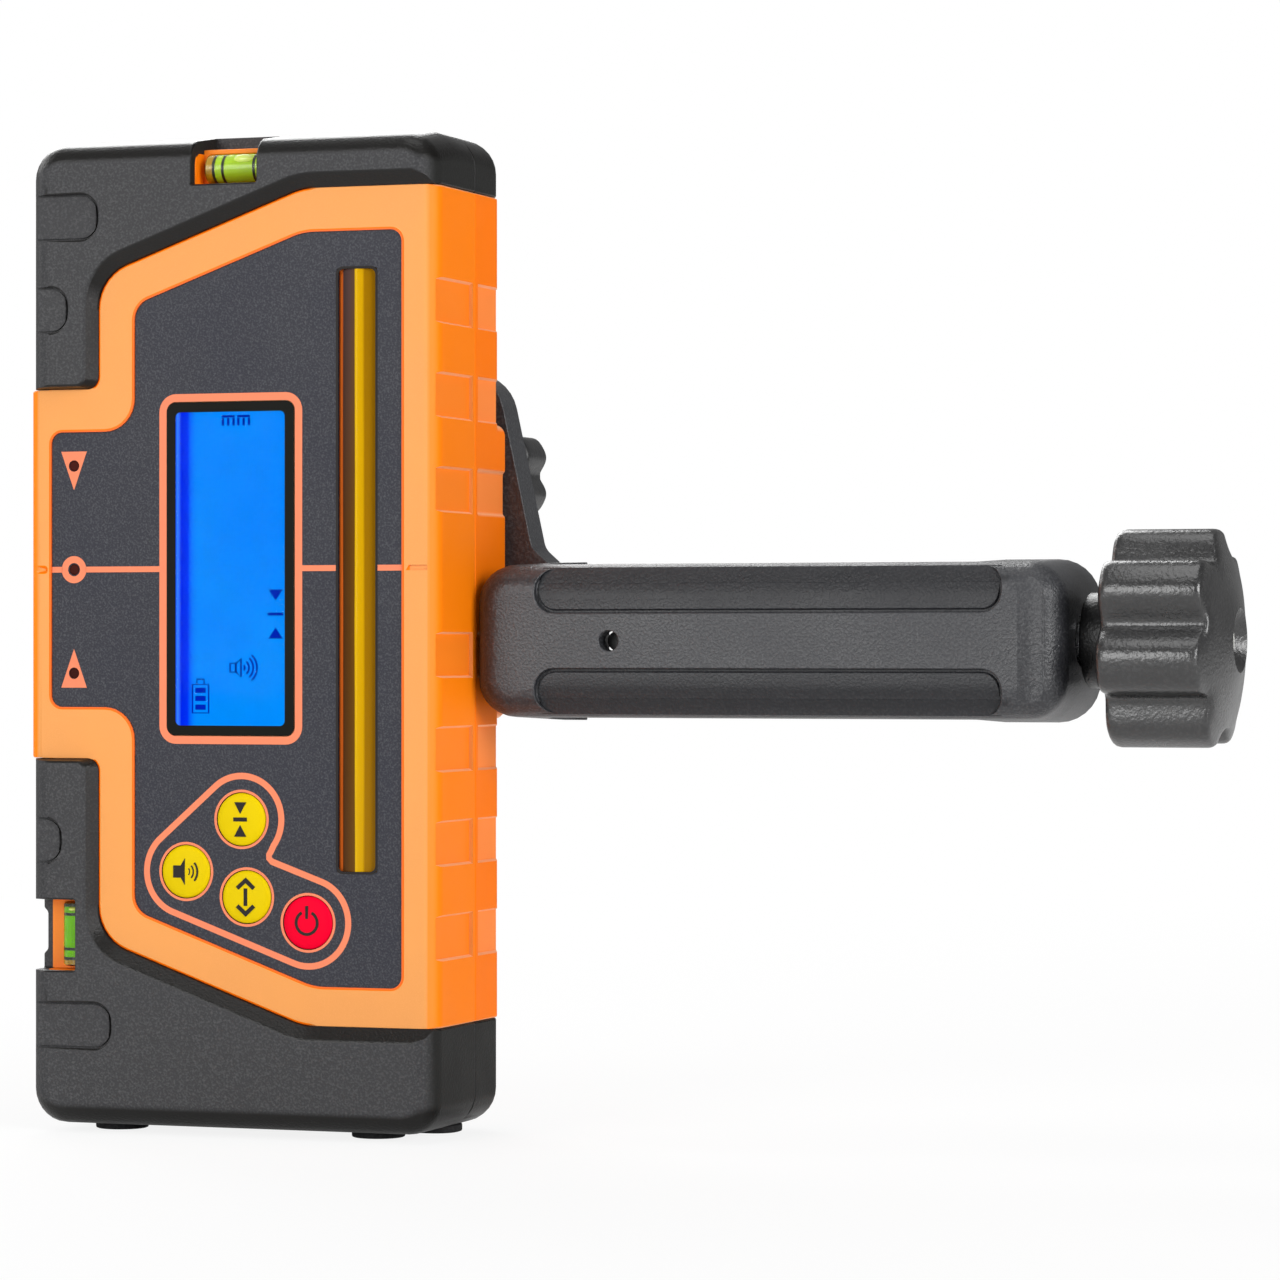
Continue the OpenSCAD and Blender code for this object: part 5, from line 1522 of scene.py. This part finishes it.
@dataclass
class FacePrints:
    """Lines printed on the front panel.

    Args:
        finishes: the finishes to use.
        surface: the panel's front, behind the face.
        thick: thickness of the ink.
        frame_box: left, bottom, right and top of the line round the screen.
        frame_line: its width.
        frame_r: radius of its corners.
        grade_line: width of the on-grade line.
        panel_left: left end of the on-grade line.
        panel_right: right end of the on-grade line.
        window_left: left edge of the sensor window's slot.
        window_right: right edge of the slot.
        window_ends: bottom and top of the slot.
        outline: how far the slot's dark outline goes outwards and inwards.
        outline_r: radii of the outline's corners.
        opening: corners of the shell's opening for the panel, with their radii.
        rim: front, thickness and width of the painted shade line along the opening.
        led_x: the indicators' place.
        led_step: how far the outer indicators are from the middle one.
        led_hole: radius of the hole in each arrow head.
        led_ring: radii of the ring round the middle indicator.
        triangle: half width, base and tip of the arrow heads.
        key_left: the left key's middle.
        key_step: step from the left key to the middle one, and from there to the right one.
        key_rise: step from the left key to the upper one.
        key_ring: radii of the ring round each key.
        pad_r: radius of the outline round the keys.
        pad_line: its width.
        pad_notch: the outline's corner between the upper and the right key.
    """

    finishes: Finishes
    surface: float = 0.3
    thick: float = 0.06
    frame_box: tuple[float, float, float, float] = (-13.1, -29.45, 12.35, 29.45)
    frame_line: float = 1.35
    frame_r: float = 2.4
    grade_line: float = 1.0
    panel_left: float = -34.3
    panel_right: float = 31.4
    window_left: float = 19.35
    window_right: float = 26.85
    window_ends: Pair = (-52.0, 51.2)
    outline: Pair = (0.1, 0.32)
    outline_r: Pair = (1.3, 1.1)
    opening: Sequence[Triple] = (
        (-34.5, -24.0, 2.2), (-18.6, -24.0, 5.5), (-18.6, -59.06, 4.0), (15.2, -71.5, 12.0),
        (31.6, -71.5, 2.2), (31.6, 57.5, 2.2), (13.2, 57.5, 12.0), (-18.6, 45.8, 4.0),
        (-18.6, 24.0, 5.5), (-34.5, 24.0, 2.2))
    rim: Triple = (-0.01, 0.37, 0.28)
    led_x: float = -30.1
    led_step: float = 18.0
    led_hole: float = 1.0
    led_ring: Pair = (1.15, 2.35)
    triangle: Triple = (2.45, 20.5, 13.8)
    key_left: Pair = (-8.7, -52.1)
    key_step: Pair = (11.4, -4.2)
    key_rise: Pair = (10.4, 9.1)
    key_ring: Pair = (4.66, 5.1)
    pad_r: float = 7.45
    pad_line: float = 1.1
    pad_notch: Sequence[Pair] = ((7.25, -48.35), (6.85, -49.0), (6.85, -49.6), (7.35, -50.15))

    def build(self) -> None:
        """Prints the lines in one piece, the painted shade line along the panel's rim, and the
        window's outline.
        """
        ink = Print(self.surface - self.thick / 2, self.thick)
        self.frame_lines(ink)
        self.led_marks(ink)
        self.key_lines(ink)
        # Painted shade: a deep orange line along the shell's opening stands in for the shaded wall
        # round the panel.
        front, thick, width = self.rim
        rim = Print(front, thick).line(rounded(self.opening), width, closed=True)
        x0, x1, (z0, z1) = self.window_left, self.window_right, self.window_ends
        (out, into), (outer_r, inner_r) = self.outline, self.outline_r
        slot = Print(self.surface - self.thick / 2, self.thick)
        slot.hoop(soft_box(x0 - out, z0 - out, x1 + out, z1 + out, outer_r),
                  soft_box(x0 + into, z0 + into, x1 - into, z1 - into, inner_r))
        for name, flat, finish, kind in (("panel_print", ink, "salmon_ink", "panel_dark"),
                                         ("panel_rim_shade", rim, "panel_rim_shade", "shell_orange"),
                                         ("window_outline", slot, "icon_ink", "panel_dark")):
            place_piece(name, flat.mesh(name, self.finishes[finish]), ROOT)

    def frame_lines(self, ink: Print) -> None:
        """Prints the screen's frame and the on-grade line.

        Args:
            ink: the print to add to.
        """
        x0, _, x1, _ = self.frame_box
        half = self.frame_line / 2
        ink.line(soft_box(*self.frame_box, self.frame_r), self.frame_line, closed=True)
        ring_r = self.led_ring[1] - 0.1
        for a, b in ((self.panel_left, self.led_x - ring_r), (self.led_x + ring_r, x0 - half),
                     (x1 + half, self.window_left), (self.window_right, self.panel_right)):
            ink.line([(a, 0.0), (b, 0.0)], self.grade_line)

    def led_marks(self, ink: Print) -> None:
        """Prints the ring and the two arrow heads round the indicators.

        Args:
            ink: the print to add to.
        """
        inner, outer = self.led_ring
        ink.hoop(ring(self.led_x, 0, outer), ring(self.led_x, 0, inner))
        half, base, apex = self.triangle
        for sign in (1, -1):
            left, right = (self.led_x - half, sign * base), (self.led_x + half, sign * base)
            hole = ring(self.led_x, sign * self.led_step, self.led_hole, 32)
            ink.fill([left, right, (self.led_x, sign * apex)], hole)

    def key_places(self) -> list[Pair]:
        """Works out where the keys are.

        Returns:
            The middles of the upper, left, middle and right keys.
        """
        x, z = self.key_left
        (dx, dz), (rx, rz) = self.key_step, self.key_rise
        return [(x + rx, z + rz), (x, z), (x + dx, z + dz), (x + 2 * dx, z + 2 * dz)]

    def key_lines(self, ink: Print) -> None:
        """Prints a ring round each key and the outline round them all.

        Args:
            ink: the print to add to.
        """
        inner, outer = self.key_ring
        spots = self.key_places()
        for x, z in spots:
            ink.hoop(ring(x, z, outer, 72), ring(x, z, inner, 72))
        upper, left, _, right = spots
        lean = math.degrees(math.atan2(self.key_rise[1], self.key_rise[0]))
        fall = math.degrees(math.atan2(self.key_step[1], self.key_step[0]))
        path = arc(*upper, self.pad_r, lean + 90, -36, 36)
        path += self.pad_notch
        path += arc(*right, self.pad_r, fall + 90, fall - 90, 36)
        path += arc(*left, self.pad_r, fall - 90, lean - 270, 30)
        ink.line(path, self.pad_line, closed=True)


@dataclass
class Screen:
    """The screen: its dark border, lens, lit field and the signs it shows.

    Args:
        finishes: the finishes to use.
        middle: the opening's middle, right of the face's.
        half_w: half of the opening's width.
        half_h: half of its height.
        border: width of the dark border round it.
        border_r: radii of the border's corners.
        ink: thickness of the border and the signs.
        lens_front: the lens's front, behind the face.
        lens_r: radius of its corners.
        lens_gap: free space behind it.
        field_front: front of the screen's glass.
        field_thick: its thickness.
        field_gap: free space round it.
        field_r: radius of its corners.
        face_front: front of the lit plate behind the lens.
        face_thick: its thickness.
        face_lap: how far it goes past the glass.
    """

    finishes: Finishes
    middle: float = -0.5
    half_w: float = 10.25
    half_h: float = 26.95
    border: float = 1.7
    border_r: Pair = (1.5, 0.9)
    ink: float = 0.05
    lens_front: float = 0.3
    lens_r: float = 1.6
    lens_gap: float = 0.05
    field_front: float = 1.6
    field_thick: float = 3.2
    field_gap: float = 0.1
    field_r: float = 0.5
    face_front: float = 1.36
    face_thick: float = 0.12
    face_lap: float = 0.8

    def build(self) -> None:
        """Makes the border, the plates and the signs."""
        x, w, h = self.middle, self.half_w, self.half_h
        mask = Print(self.lens_front - 0.02, self.ink)
        out, (outer_r, inner_r) = self.border, self.border_r
        mask.hoop(soft_box(x - w - out, -h - out, x + w + out, h + out, outer_r),
                  soft_box(x - w, -h, x + w, h, inner_r))
        mesh = mask.mesh("screen_border", self.finishes["mask_ink"])
        place_piece("screen_border", mesh, ROOT)
        self.lay_glass()
        signs = Print(self.face_front - 0.04, self.ink)
        self.unit_sign(signs)
        self.level_sign(signs)
        self.sound_sign(signs)
        self.battery_sign(signs)
        mesh = signs.mesh("screen_signs", self.finishes["navy_ink"])
        place_piece("screen_signs", mesh, ROOT)

    def lay_glass(self) -> None:
        """Lays the clear lens as its CAD node lies, and the lit field in the opening behind it."""
        low, high = (corner / MM for corner in map(Vector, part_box("screen_lens")))
        lens = Print(low.y + ROD_Y, high.y - low.y - self.face_thick - self.lens_gap)
        lens.fill(soft_box(low.x + ROD_X, low.z, high.x + ROD_X, high.z, self.lens_r))
        mesh = lens.mesh("screen_lens", self.finishes["clear_lens"])
        place_piece("screen_lens_plate", mesh, ROOT, ["screen_lens"])
        x, w, h = self.middle, self.half_w - self.field_gap, self.half_h - self.field_gap
        lit = Print(self.field_front, self.field_thick)
        lit.fill(soft_box(x - w, -h, x + w, h, self.field_r))
        mesh = lit.mesh("lcd_glass", self.finishes["lit_screen"])
        place_piece("lcd_glass_plate", mesh, ROOT, ["lcd_glass"])
        lap = self.face_lap
        face = Print(self.face_front, self.face_thick)
        face.fill(soft_box(x - w - lap, -h - lap, x + w + lap, h + lap, self.field_r))
        mesh = face.mesh("lcd_face", self.finishes["lit_screen"])
        place_piece("lcd_face", mesh, ROOT)

    def unit_sign(self, signs: Print) -> None:
        """Draws the unit at the top of the screen as two arches of three legs each.

        Args:
            signs: the print to add to.
        """
        top, foot, leg = 26.2, 24.6, 0.42
        for start in (-2.45, 0.45):
            for i in range(3):
                x = start + 0.2 + i * 1.0
                signs.line([(x, foot), (x, top - 0.3)], leg)
            signs.line([(start, top), (start + 2.4, top)], leg)

    def level_sign(self, signs: Print) -> None:
        """Draws two arrow heads and a bar at the right of the screen.

        Args:
            signs: the print to add to.
        """
        signs.fill([(6.3, -3.6), (8.95, -3.6), (7.62, -5.45)])
        signs.line([(6.15, -7.8), (9.05, -7.8)], 0.5)
        signs.fill([(6.3, -12.0), (8.95, -12.0), (7.62, -10.1)])

    def sound_sign(self, signs: Print) -> None:
        """Draws a loudspeaker with its waves.

        Args:
            signs: the print to add to.
        """
        width = 0.32
        box = [(-0.9, -16.25), (-0.9, -17.75), (0.15, -17.75), (0.15, -16.25)]
        horn = [(0.2, -16.3), (1.15, -15.4), (1.15, -18.6), (0.2, -17.7)]
        for path in (box, horn):
            signs.line(path, width, closed=True)
        for r in (0.55, 1.35, 2.15, 2.85):
            signs.line(arc(1.3, -17.0, r, -50, 50, 14), width)

    def battery_sign(self, signs: Print) -> None:
        """Draws a battery with three bars.

        Args:
            signs: the print to add to.
        """
        signs.line([(-8.0, -24.8), (-4.95, -24.8), (-4.95, -19.9), (-8.0, -19.9)], 0.3, closed=True)
        signs.line([(-7.15, -19.8), (-7.15, -19.0), (-5.8, -19.0), (-5.8, -19.8)], 0.28)
        for z in (-20.9, -22.3, -23.8):
            signs.fill(soft_box(-7.45, z - 0.45, -5.5, z + 0.45, 0.1))


@dataclass
class Keys:
    """Four round keys with their signs.

    Args:
        finishes: the finishes to use.
        places: the keys' middles.
        radius: radius of a cap.
        face: a cap's top, behind the face.
        crown: rounding of a cap, as (share of the radius, drop).
        flange: radius, front and back of the flange that holds a key in.
        stem: radius and end of the stem that presses the switch.
        sign: how far a sign stands out of the cap, and its thickness.
    """

    finishes: Finishes
    places: list[Pair]
    radius: float = 4.55
    face: float = -0.3
    crown: Sequence[Pair] = (
        (0.0, 0.0), (0.25, 0.02), (0.5, 0.06), (0.7, 0.15), (0.82, 0.24), (0.9, 0.34),
        (0.955, 0.48), (0.985, 0.64), (1.0, 0.84))
    flange: Triple = (5.35, 3.1, 3.9)
    stem: Pair = (2.0, 5.08)
    sign: Pair = (0.03, 0.2)

    def build(self) -> None:
        """Makes the caps and their signs."""
        names = ("accuracy", "sound", "units", "power")
        for i, (name, (x, z)) in enumerate(zip(names, self.places)):
            finish = "red_key" if name == "power" else "yellow_key"
            self.cap(name, x, z, finish)
            out, thick = self.sign
            signs = Print(self.face - out, thick)
            (self.level_sign, self.sound_sign, self.arrows, self.power_sign)[i](signs, x, z)
            mesh = signs.mesh(name + "_sign", self.finishes["icon_ink"])
            place_piece(name + "_key_sign", mesh, name + "_key")

    def cap(self, name: str, x: float, z: float, finish: str) -> None:
        """Turns one key.

        Args:
            name: the key's name.
            x: its middle.
            z: its middle.
            finish: its finish.
        """
        (wide, y0, y1), (stem_r, end) = self.flange, self.stem
        profile = [(self.face + drop, share * self.radius) for share, drop in self.crown]
        profile += [(y0, self.radius), (y0, wide), (y1, wide)]
        profile += [(y1, stem_r), (end, stem_r), (end, 0.0)]
        bm = lathe(profile, Axis.ALONG_Y, at(x, 0, z), 72)
        mesh = mesh_from(bm, name + "_key", self.finishes[finish])
        place_piece(name + "_key_cap", mesh, name + "_key", ["key_" + name])

    def level_sign(self, signs: Print, x: float, z: float) -> None:
        """Draws two arrow heads that meet at a bar.

        Args:
            signs: the print to add to.
            x: the key's middle.
            z: the key's middle.
        """
        for sign in (1, -1):
            base, tip = z + sign * 2.95, z + sign * 0.92
            signs.fill([(x - 1.1, base), (x + 1.1, base), (x, tip)])
        signs.line([(x - 1.28, z), (x + 1.28, z)], 0.7)

    def sound_sign(self, signs: Print, x: float, z: float) -> None:
        """Draws a loudspeaker with three waves.

        Args:
            signs: the print to add to.
            x: the key's middle.
            z: the key's middle.
        """
        signs.fill([(x - 2.2, z - 1.05), (x - 0.8, z - 1.05), (x, z - 2.3),
                    (x, z + 2.3), (x - 0.8, z + 1.05), (x - 2.2, z + 1.05)])
        for r, width in ((0.85, 0.2), (1.55, 0.26), (2.3, 0.32)):
            signs.line(arc(x + 0.05, z, r, -42, 42, 14), width)

    def arrows(self, signs: Print, x: float, z: float) -> None:
        """Draws an arrow that points both ways.

        Args:
            signs: the print to add to.
            x: the key's middle.
            z: the key's middle.
        """
        signs.line([(x, z - 1.5), (x, z + 1.5)], 0.68)
        for sign in (1, -1):
            barb, tip, heel, notch = (z + sign * high for high in (1.75, 3.35, 1.25, 2.4))
            signs.fill([(x - 1.8, barb), (x, tip), (x + 1.8, barb),
                        (x + 1.3, heel), (x, notch), (x - 1.3, heel)])

    def power_sign(self, signs: Print, x: float, z: float) -> None:
        """Draws an open ring with a bar in its gap."""
        signs.line(arc(x, z, 1.95, 118, 422, 40), 0.5)
        signs.line([(x, z + 0.7), (x, z + 2.9)], 0.5)


@dataclass
class Vial:
    """One level vial: clear tube, coloured spirit, end plugs coloured amber as a painted reflection
    of the orange round them, four lines and a bubble.

    Args:
        finishes: the finishes to use.
        name: its CAD node, which its pieces' names start with.
        middle: its middle.
        axis: the way that it lies.
        spirit: finish of the spirit.
        slot: the record's material slot; not used.
        radius: the tube's radius.
        length: the tube's length.
        wall: the tube's wall.
        cuts: chamfers of the tube and of the spirit.
        lines: places of the lines along the tube.
        line: half width of a line, and how far it goes into and out of the spirit.
        plug: how far a plug is from the tube's end and from the spirit.
        ends: both ends of the spirit.
        bubble_at: the bubble's place along the tube.
        bubble_half: half of the bubble's length.
        bubble_r: radius of the bubble.
    """

    finishes: Finishes
    name: str
    middle: Triple
    axis: Axis
    spirit: str
    slot: str
    radius: float = 2.6
    length: float = 11.0
    wall: float = 0.25
    cuts: Pair = (0.3, 0.2)
    lines: tuple[float, ...] = (-3.86, -2.13, 3.69, 5.0)
    line: Triple = (0.25, 0.1, 0.06)
    plug: Pair = (0.2, 0.02)
    ends: Pair = (-4.0, 5.1)
    bubble_at: float = 0.0
    bubble_half: float = 1.5
    bubble_r: float = 0.9

    def build(self) -> None:
        """Makes the vial's pieces."""
        half, (tube_cut, spirit_cut) = self.length / 2, self.cuts
        self.turn("tube", self.rod(-half, half, self.radius, tube_cut), "vial_tube", [self.name])
        inner, (low, high) = self.radius - self.wall, self.ends
        self.turn("spirit", self.rod(low, high, inner, spirit_cut), self.spirit)
        inset, gap = self.plug
        # The plugs' amber is a painted reflection of the orange shell.
        plugs = (("low", inset - half, low - gap), ("high", high + gap, half - inset))
        for word, start, stop in plugs:
            plug = [(start, 0.0), (start, inner), (stop, inner), (stop, 0.0)]
            self.turn("plug_" + word, plug, "vial_plug_reflection")
        wide, into, out = self.line
        for i, along in enumerate(self.lines):
            start, stop = along - wide, along + wide
            hoop = [(start, inner - into), (start, inner + out), (stop, inner + out),
                    (stop, inner - into), (start, inner - into)]
            self.turn(f"line_{i + 1}", hoop, "vial_line")
        self.blow_bubble(inner)

    def turn(self, word: str, profile: Sequence[Pair], finish: str,
             nodes: Sequence[str] = ()) -> None:
        """Turns one of the vial's pieces and places it.

        Args:
            word: end of the piece's name.
            profile: its outline, as (along, radius).
            finish: its finish.
            nodes: the CAD nodes that it replaces.
        """
        name = f"{self.name}_{word}"
        bm = lathe(profile, self.axis, at(*self.middle))
        place_piece(name, mesh_from(bm, name, self.finishes[finish]), ROOT, nodes)

    @staticmethod
    def rod(low: float, high: float, r: float, cut: float) -> list[Pair]:
        """Profile of a rod with chamfered ends."""
        return [(low, 0.0), (low, r - cut), (low + cut, r),
                (high - cut, r), (high, r - cut), (high, 0.0)]

    def blow_bubble(self, inner: float) -> None:
        """Sets the bubble against the tube, on the side that shows.

        Args:
            inner: radius of the spirit.
        """
        slant, front = 0.62 * inner, 0.85 * inner
        lift = {Axis.ALONG_X: Vector((self.bubble_at, -slant, slant)),
                Axis.ALONG_Z: Vector((0.0, -front, self.bubble_at))}[self.axis]
        count = 14
        turns = [math.pi * i / count for i in range(count + 1)]
        rise = [0.0, *(self.bubble_r * math.sin(a) for a in turns[1:-1]), 0.0]
        profile = [(-self.bubble_half * math.cos(a), r) for a, r in zip(turns, rise)]
        bm = lathe(profile, self.axis, at(*self.middle) + lift * MM, 32)
        mesh = mesh_from(bm, self.name + "_bubble", self.finishes["bubble"])
        place_piece(self.name + "_bubble", mesh, ROOT)


@dataclass
class Knob:
    """A lobed knob.

    Args:
        finishes: the finishes to use.
        group: the tree that presses its hollows.
        name: the piece's name.
        node: the CAD node that it replaces.
        body: the CAD body that it rides on.
        middle: where its profile starts.
        axis: the way that it lies.
        profile: its outline, as (along, radius, share of the hollows).
        hollow: depth of the hollows.
        lobes: number of lobes.
        turn: how far the lobes are turned, in degrees.
        finish: its finish.
        hard: edges sharper than this many degrees stay hard.
        steps: steps round each lobe.
    """

    finishes: Finishes
    group: NodeGroup
    name: str
    node: str
    body: str
    middle: Triple
    axis: Axis
    profile: Sequence[Triple]
    hollow: float
    lobes: int
    turn: float
    finish: str
    hard: float = 50.0
    steps: int = 28

    def build(self) -> None:
        """Turns the knob's profile and presses its hollows."""
        spot = at(*self.middle)
        points = [(along, radius) for along, radius, _ in self.profile]
        steps = self.steps * self.lobes
        bm = lathe(points, self.axis, spot, steps)
        mesh = bpy.data.meshes.new(self.name)
        bmesh.ops.recalc_face_normals(bm, faces=bm.faces)
        bm.to_mesh(mesh)
        bm.free()
        shares = [share for _, radius, share in self.profile
                  for _ in range(steps if radius > 0 else 1)]
        mesh.attributes.new("lobe_share", "FLOAT", "POINT").data.foreach_set("value", shares)
        along = {Axis.ALONG_X: (1.0, 0.0, 0.0), Axis.ALONG_Y: (0.0, 1.0, 0.0)}[self.axis]
        ids = self.group.inputs
        made = baked(self.name, mesh, [("NODES", {
            "node_group": self.group.tree, ids["Middle"]: tuple(spot), ids["Along"]: along,
            ids["Hollow"]: self.hollow * MM, ids["Lobes"]: self.lobes,
            ids["Turn"]: math.radians(self.turn), ids["Material"]: self.finishes[self.finish]})])
        made.attributes.remove(made.attributes["lobe_share"])
        smooth(made, self.hard)
        place_piece(self.name, made, self.body, [self.node])


@dataclass
class ClampScrew:
    """The clamp's screw with its thread.

    Args:
        finishes: the finishes to use.
        group: the tree that winds its thread.
        middle: where its profile starts.
        root_r: radius of the rod under the thread.
        ridge: radius of the thread's ridge.
        pitch: the thread's pitch.
        thread: both ends of the thread along the rod.
        profile: the rod's outline, as (along, radius).
    """

    finishes: Finishes
    group: NodeGroup
    middle: Triple = (80.0, 27.5, -12.4)
    root_r: float = 3.5
    ridge: float = 0.52
    pitch: float = 2.0
    thread: Pair = (1.2, 66.0)
    profile: Sequence[Pair] = (
        (-5.2, 0.0), (-5.2, 2.7), (-4.9, 3.0), (-3.4, 3.0), (-3.4, 2.2), (-1.6, 2.2),
        (-1.6, 3.0), (0.3, 3.0), (0.3, 3.4), (0.6, 3.5), (82.3, 3.5), (82.3, 0.0))

    def build(self) -> None:
        """Turns the rod and winds its thread."""
        spot = at(*self.middle)
        bm = lathe(self.profile, Axis.ALONG_X, spot)
        rod = mesh_from(bm, "clamp_screw_rod", self.finishes["steel"])
        place_piece("clamp_screw_rod", rod, "clamp_screw", ["clamp_screw"])
        start, end = self.thread
        ids = self.group.inputs
        empty = bpy.data.meshes.new("thread")
        wound = baked("clamp_screw_thread", empty, [("NODES", {
            "node_group": self.group.tree, ids["Turns"]: (end - start) / self.pitch,
            ids["Radius"]: self.root_r * MM, ids["Length"]: (end - start) * MM,
            ids["Ridge"]: self.ridge * MM, ids["Tilt"]: (0.0, math.radians(90), 0.0),
            ids["Middle"]: tuple(spot + Vector((start * MM, 0, 0))),
            ids["Material"]: self.finishes["steel"]})])
        smooth(wound)
        place_piece("clamp_screw_thread", wound, "clamp_screw")


@dataclass
class ArmLips:
    """Strips that close the arm's pockets against the thin lips along its top and bottom.

    Args:
        finishes: the finishes to use.
        front: the arm's front.
        top: the arm's top edge.
        bottom: the arm's bottom edge.
        ends: both ends of the strips.
        section: corners as (behind the arm's front, inside its edge).
    """

    finishes: Finishes
    front: float = 14.0
    top: float = 0.7
    bottom: float = -25.5
    ends: Pair = (50.7, 131.9)
    section: Sequence[Pair] = (
        (1.47, 3.3), (2.0, 1.75), (2.62, 0.58), (5.0, 0.58), (5.6, 0.9), (3.0, 3.3))

    def build(self) -> None:
        """Makes one strip along each edge."""
        for word, edge, sign in (("top", self.top, -1), ("bottom", self.bottom, 1)):
            bm = bmesh.new()
            rows = [[bm.verts.new(at(x, self.front + back, edge + sign * inside))
                     for back, inside in self.section] for x in self.ends]
            count = len(self.section)
            for i in range(count):
                n = (i + 1) % count
                bm.faces.new((rows[0][i], rows[0][n], rows[1][n], rows[1][i]))
            for row in rows:
                bm.faces.new(row)
            mesh = mesh_from(bm, "arm_lip_" + word, self.finishes["clamp_plastic"])
            place_piece("arm_lip_" + word, mesh, ROOT)


def knob_profile(length: float, r: float, hub: Sequence[Triple], dimple: Triple) -> list[Triple]:
    """Profile of a knob as (along, radius, share of the hollows).

    Args:
        length: length of the lobed part.
        r: radius over the lobes.
        hub: points of the hub before the lobed part.
        dimple: mouth radius, floor radius and depth of the dimple in its end.

    Returns:
        The profile.
    """
    shares = [
        (0.0, 0.93, 0.9), (0.015, 0.97, 0.97), (0.04, 0.99, 1.0), (0.08, 1.0, 1.0), (0.3, 1.0, 1.0),
        (0.55, 1.0, 1.0), (0.78, 1.0, 1.0), (0.8, 0.998, 0.99), (0.82, 0.992, 0.97),
        (0.833, 0.983, 0.92), (0.845, 0.97, 0.86), (0.853, 0.935, 0.7), (0.862, 0.9, 0.55),
        (0.87, 0.87, 0.41), (0.878, 0.84, 0.27), (0.887, 0.81, 0.15), (0.895, 0.78, 0.04),
        (0.93, 0.6, 0.0), (0.965, 0.445, 0.0), (0.985, 0.357, 0.0)]
    body = [(s * length, radius * r, dip) for s, radius, dip in shares]
    mouth, floor, depth = dimple
    end = [(length, mouth, 0.0), (length - depth, floor, 0.0), (length - depth, 0.0, 0.0)]
    return [*hub, *body, *end]


def build_clamp(finishes: Finishes) -> None:
    """Makes the clamp's knobs and its screw.

    Args:
        finishes: the finishes to use.
    """
    lobes = lobe_tree()
    hub = [(-5.1, 0.0, 0.0), (-5.1, 7.6, 0.0), (-4.7, 8.0, 0.0), (-0.02, 8.0, 0.0)]
    Knob(finishes, lobes, "clamp_knob_lobed", "clamp_knob", "clamp_screw",
         (149.3, 27.5, -12.4), Axis.ALONG_X, knob_profile(20.4, 18.5, hub, (5.36, 3.0, 2.9)),
         hollow=4.0, lobes=7, turn=164.5, finish="knob_plastic").build()
    foot = [(0.0, 0.0, 0.0)]
    Knob(finishes, lobes, "bracket_knob_lobed", "bracket_knob", "bracket_screw",
         (29.0, 42.1, 17.2), Axis.ALONG_Y, knob_profile(11.0, 10.2, foot, (2.9, 2.2, 0.5)),
         hollow=2.2, lobes=6, turn=30.0, finish="bracket_plastic").build()
    ClampScrew(finishes, thread_tree()).build()
    ArmLips(finishes).build()


def main() -> None:
    """Builds the studio and every piece, in order."""
    logging.basicConfig(level=logging.INFO, format="%(name)s: %(message)s")
    Studio().build()
    finishes = Finishes()
    Carried(finishes).build()
    prints = FacePrints(finishes)
    prints.build()
    Screen(finishes).build()
    Keys(finishes, prints.key_places()).build()
    Vial(finishes, "top_vial", (-0.3, 3.8, 68.9), Axis.ALONG_X, "yellow_spirit", "vial_yellow",
         bubble_at=1.6, bubble_half=2.0).build()
    Vial(finishes, "side_vial", (-30.9, 3.8, -63.4), Axis.ALONG_Z, "green_spirit", "vial_green",
         lines=(-4.28, -2.62, 3.43, 4.99), ends=(-4.4, 5.05),
         bubble_at=4.35, bubble_half=0.4).build()
    build_clamp(finishes)


if __name__ == "__main__":
    main()
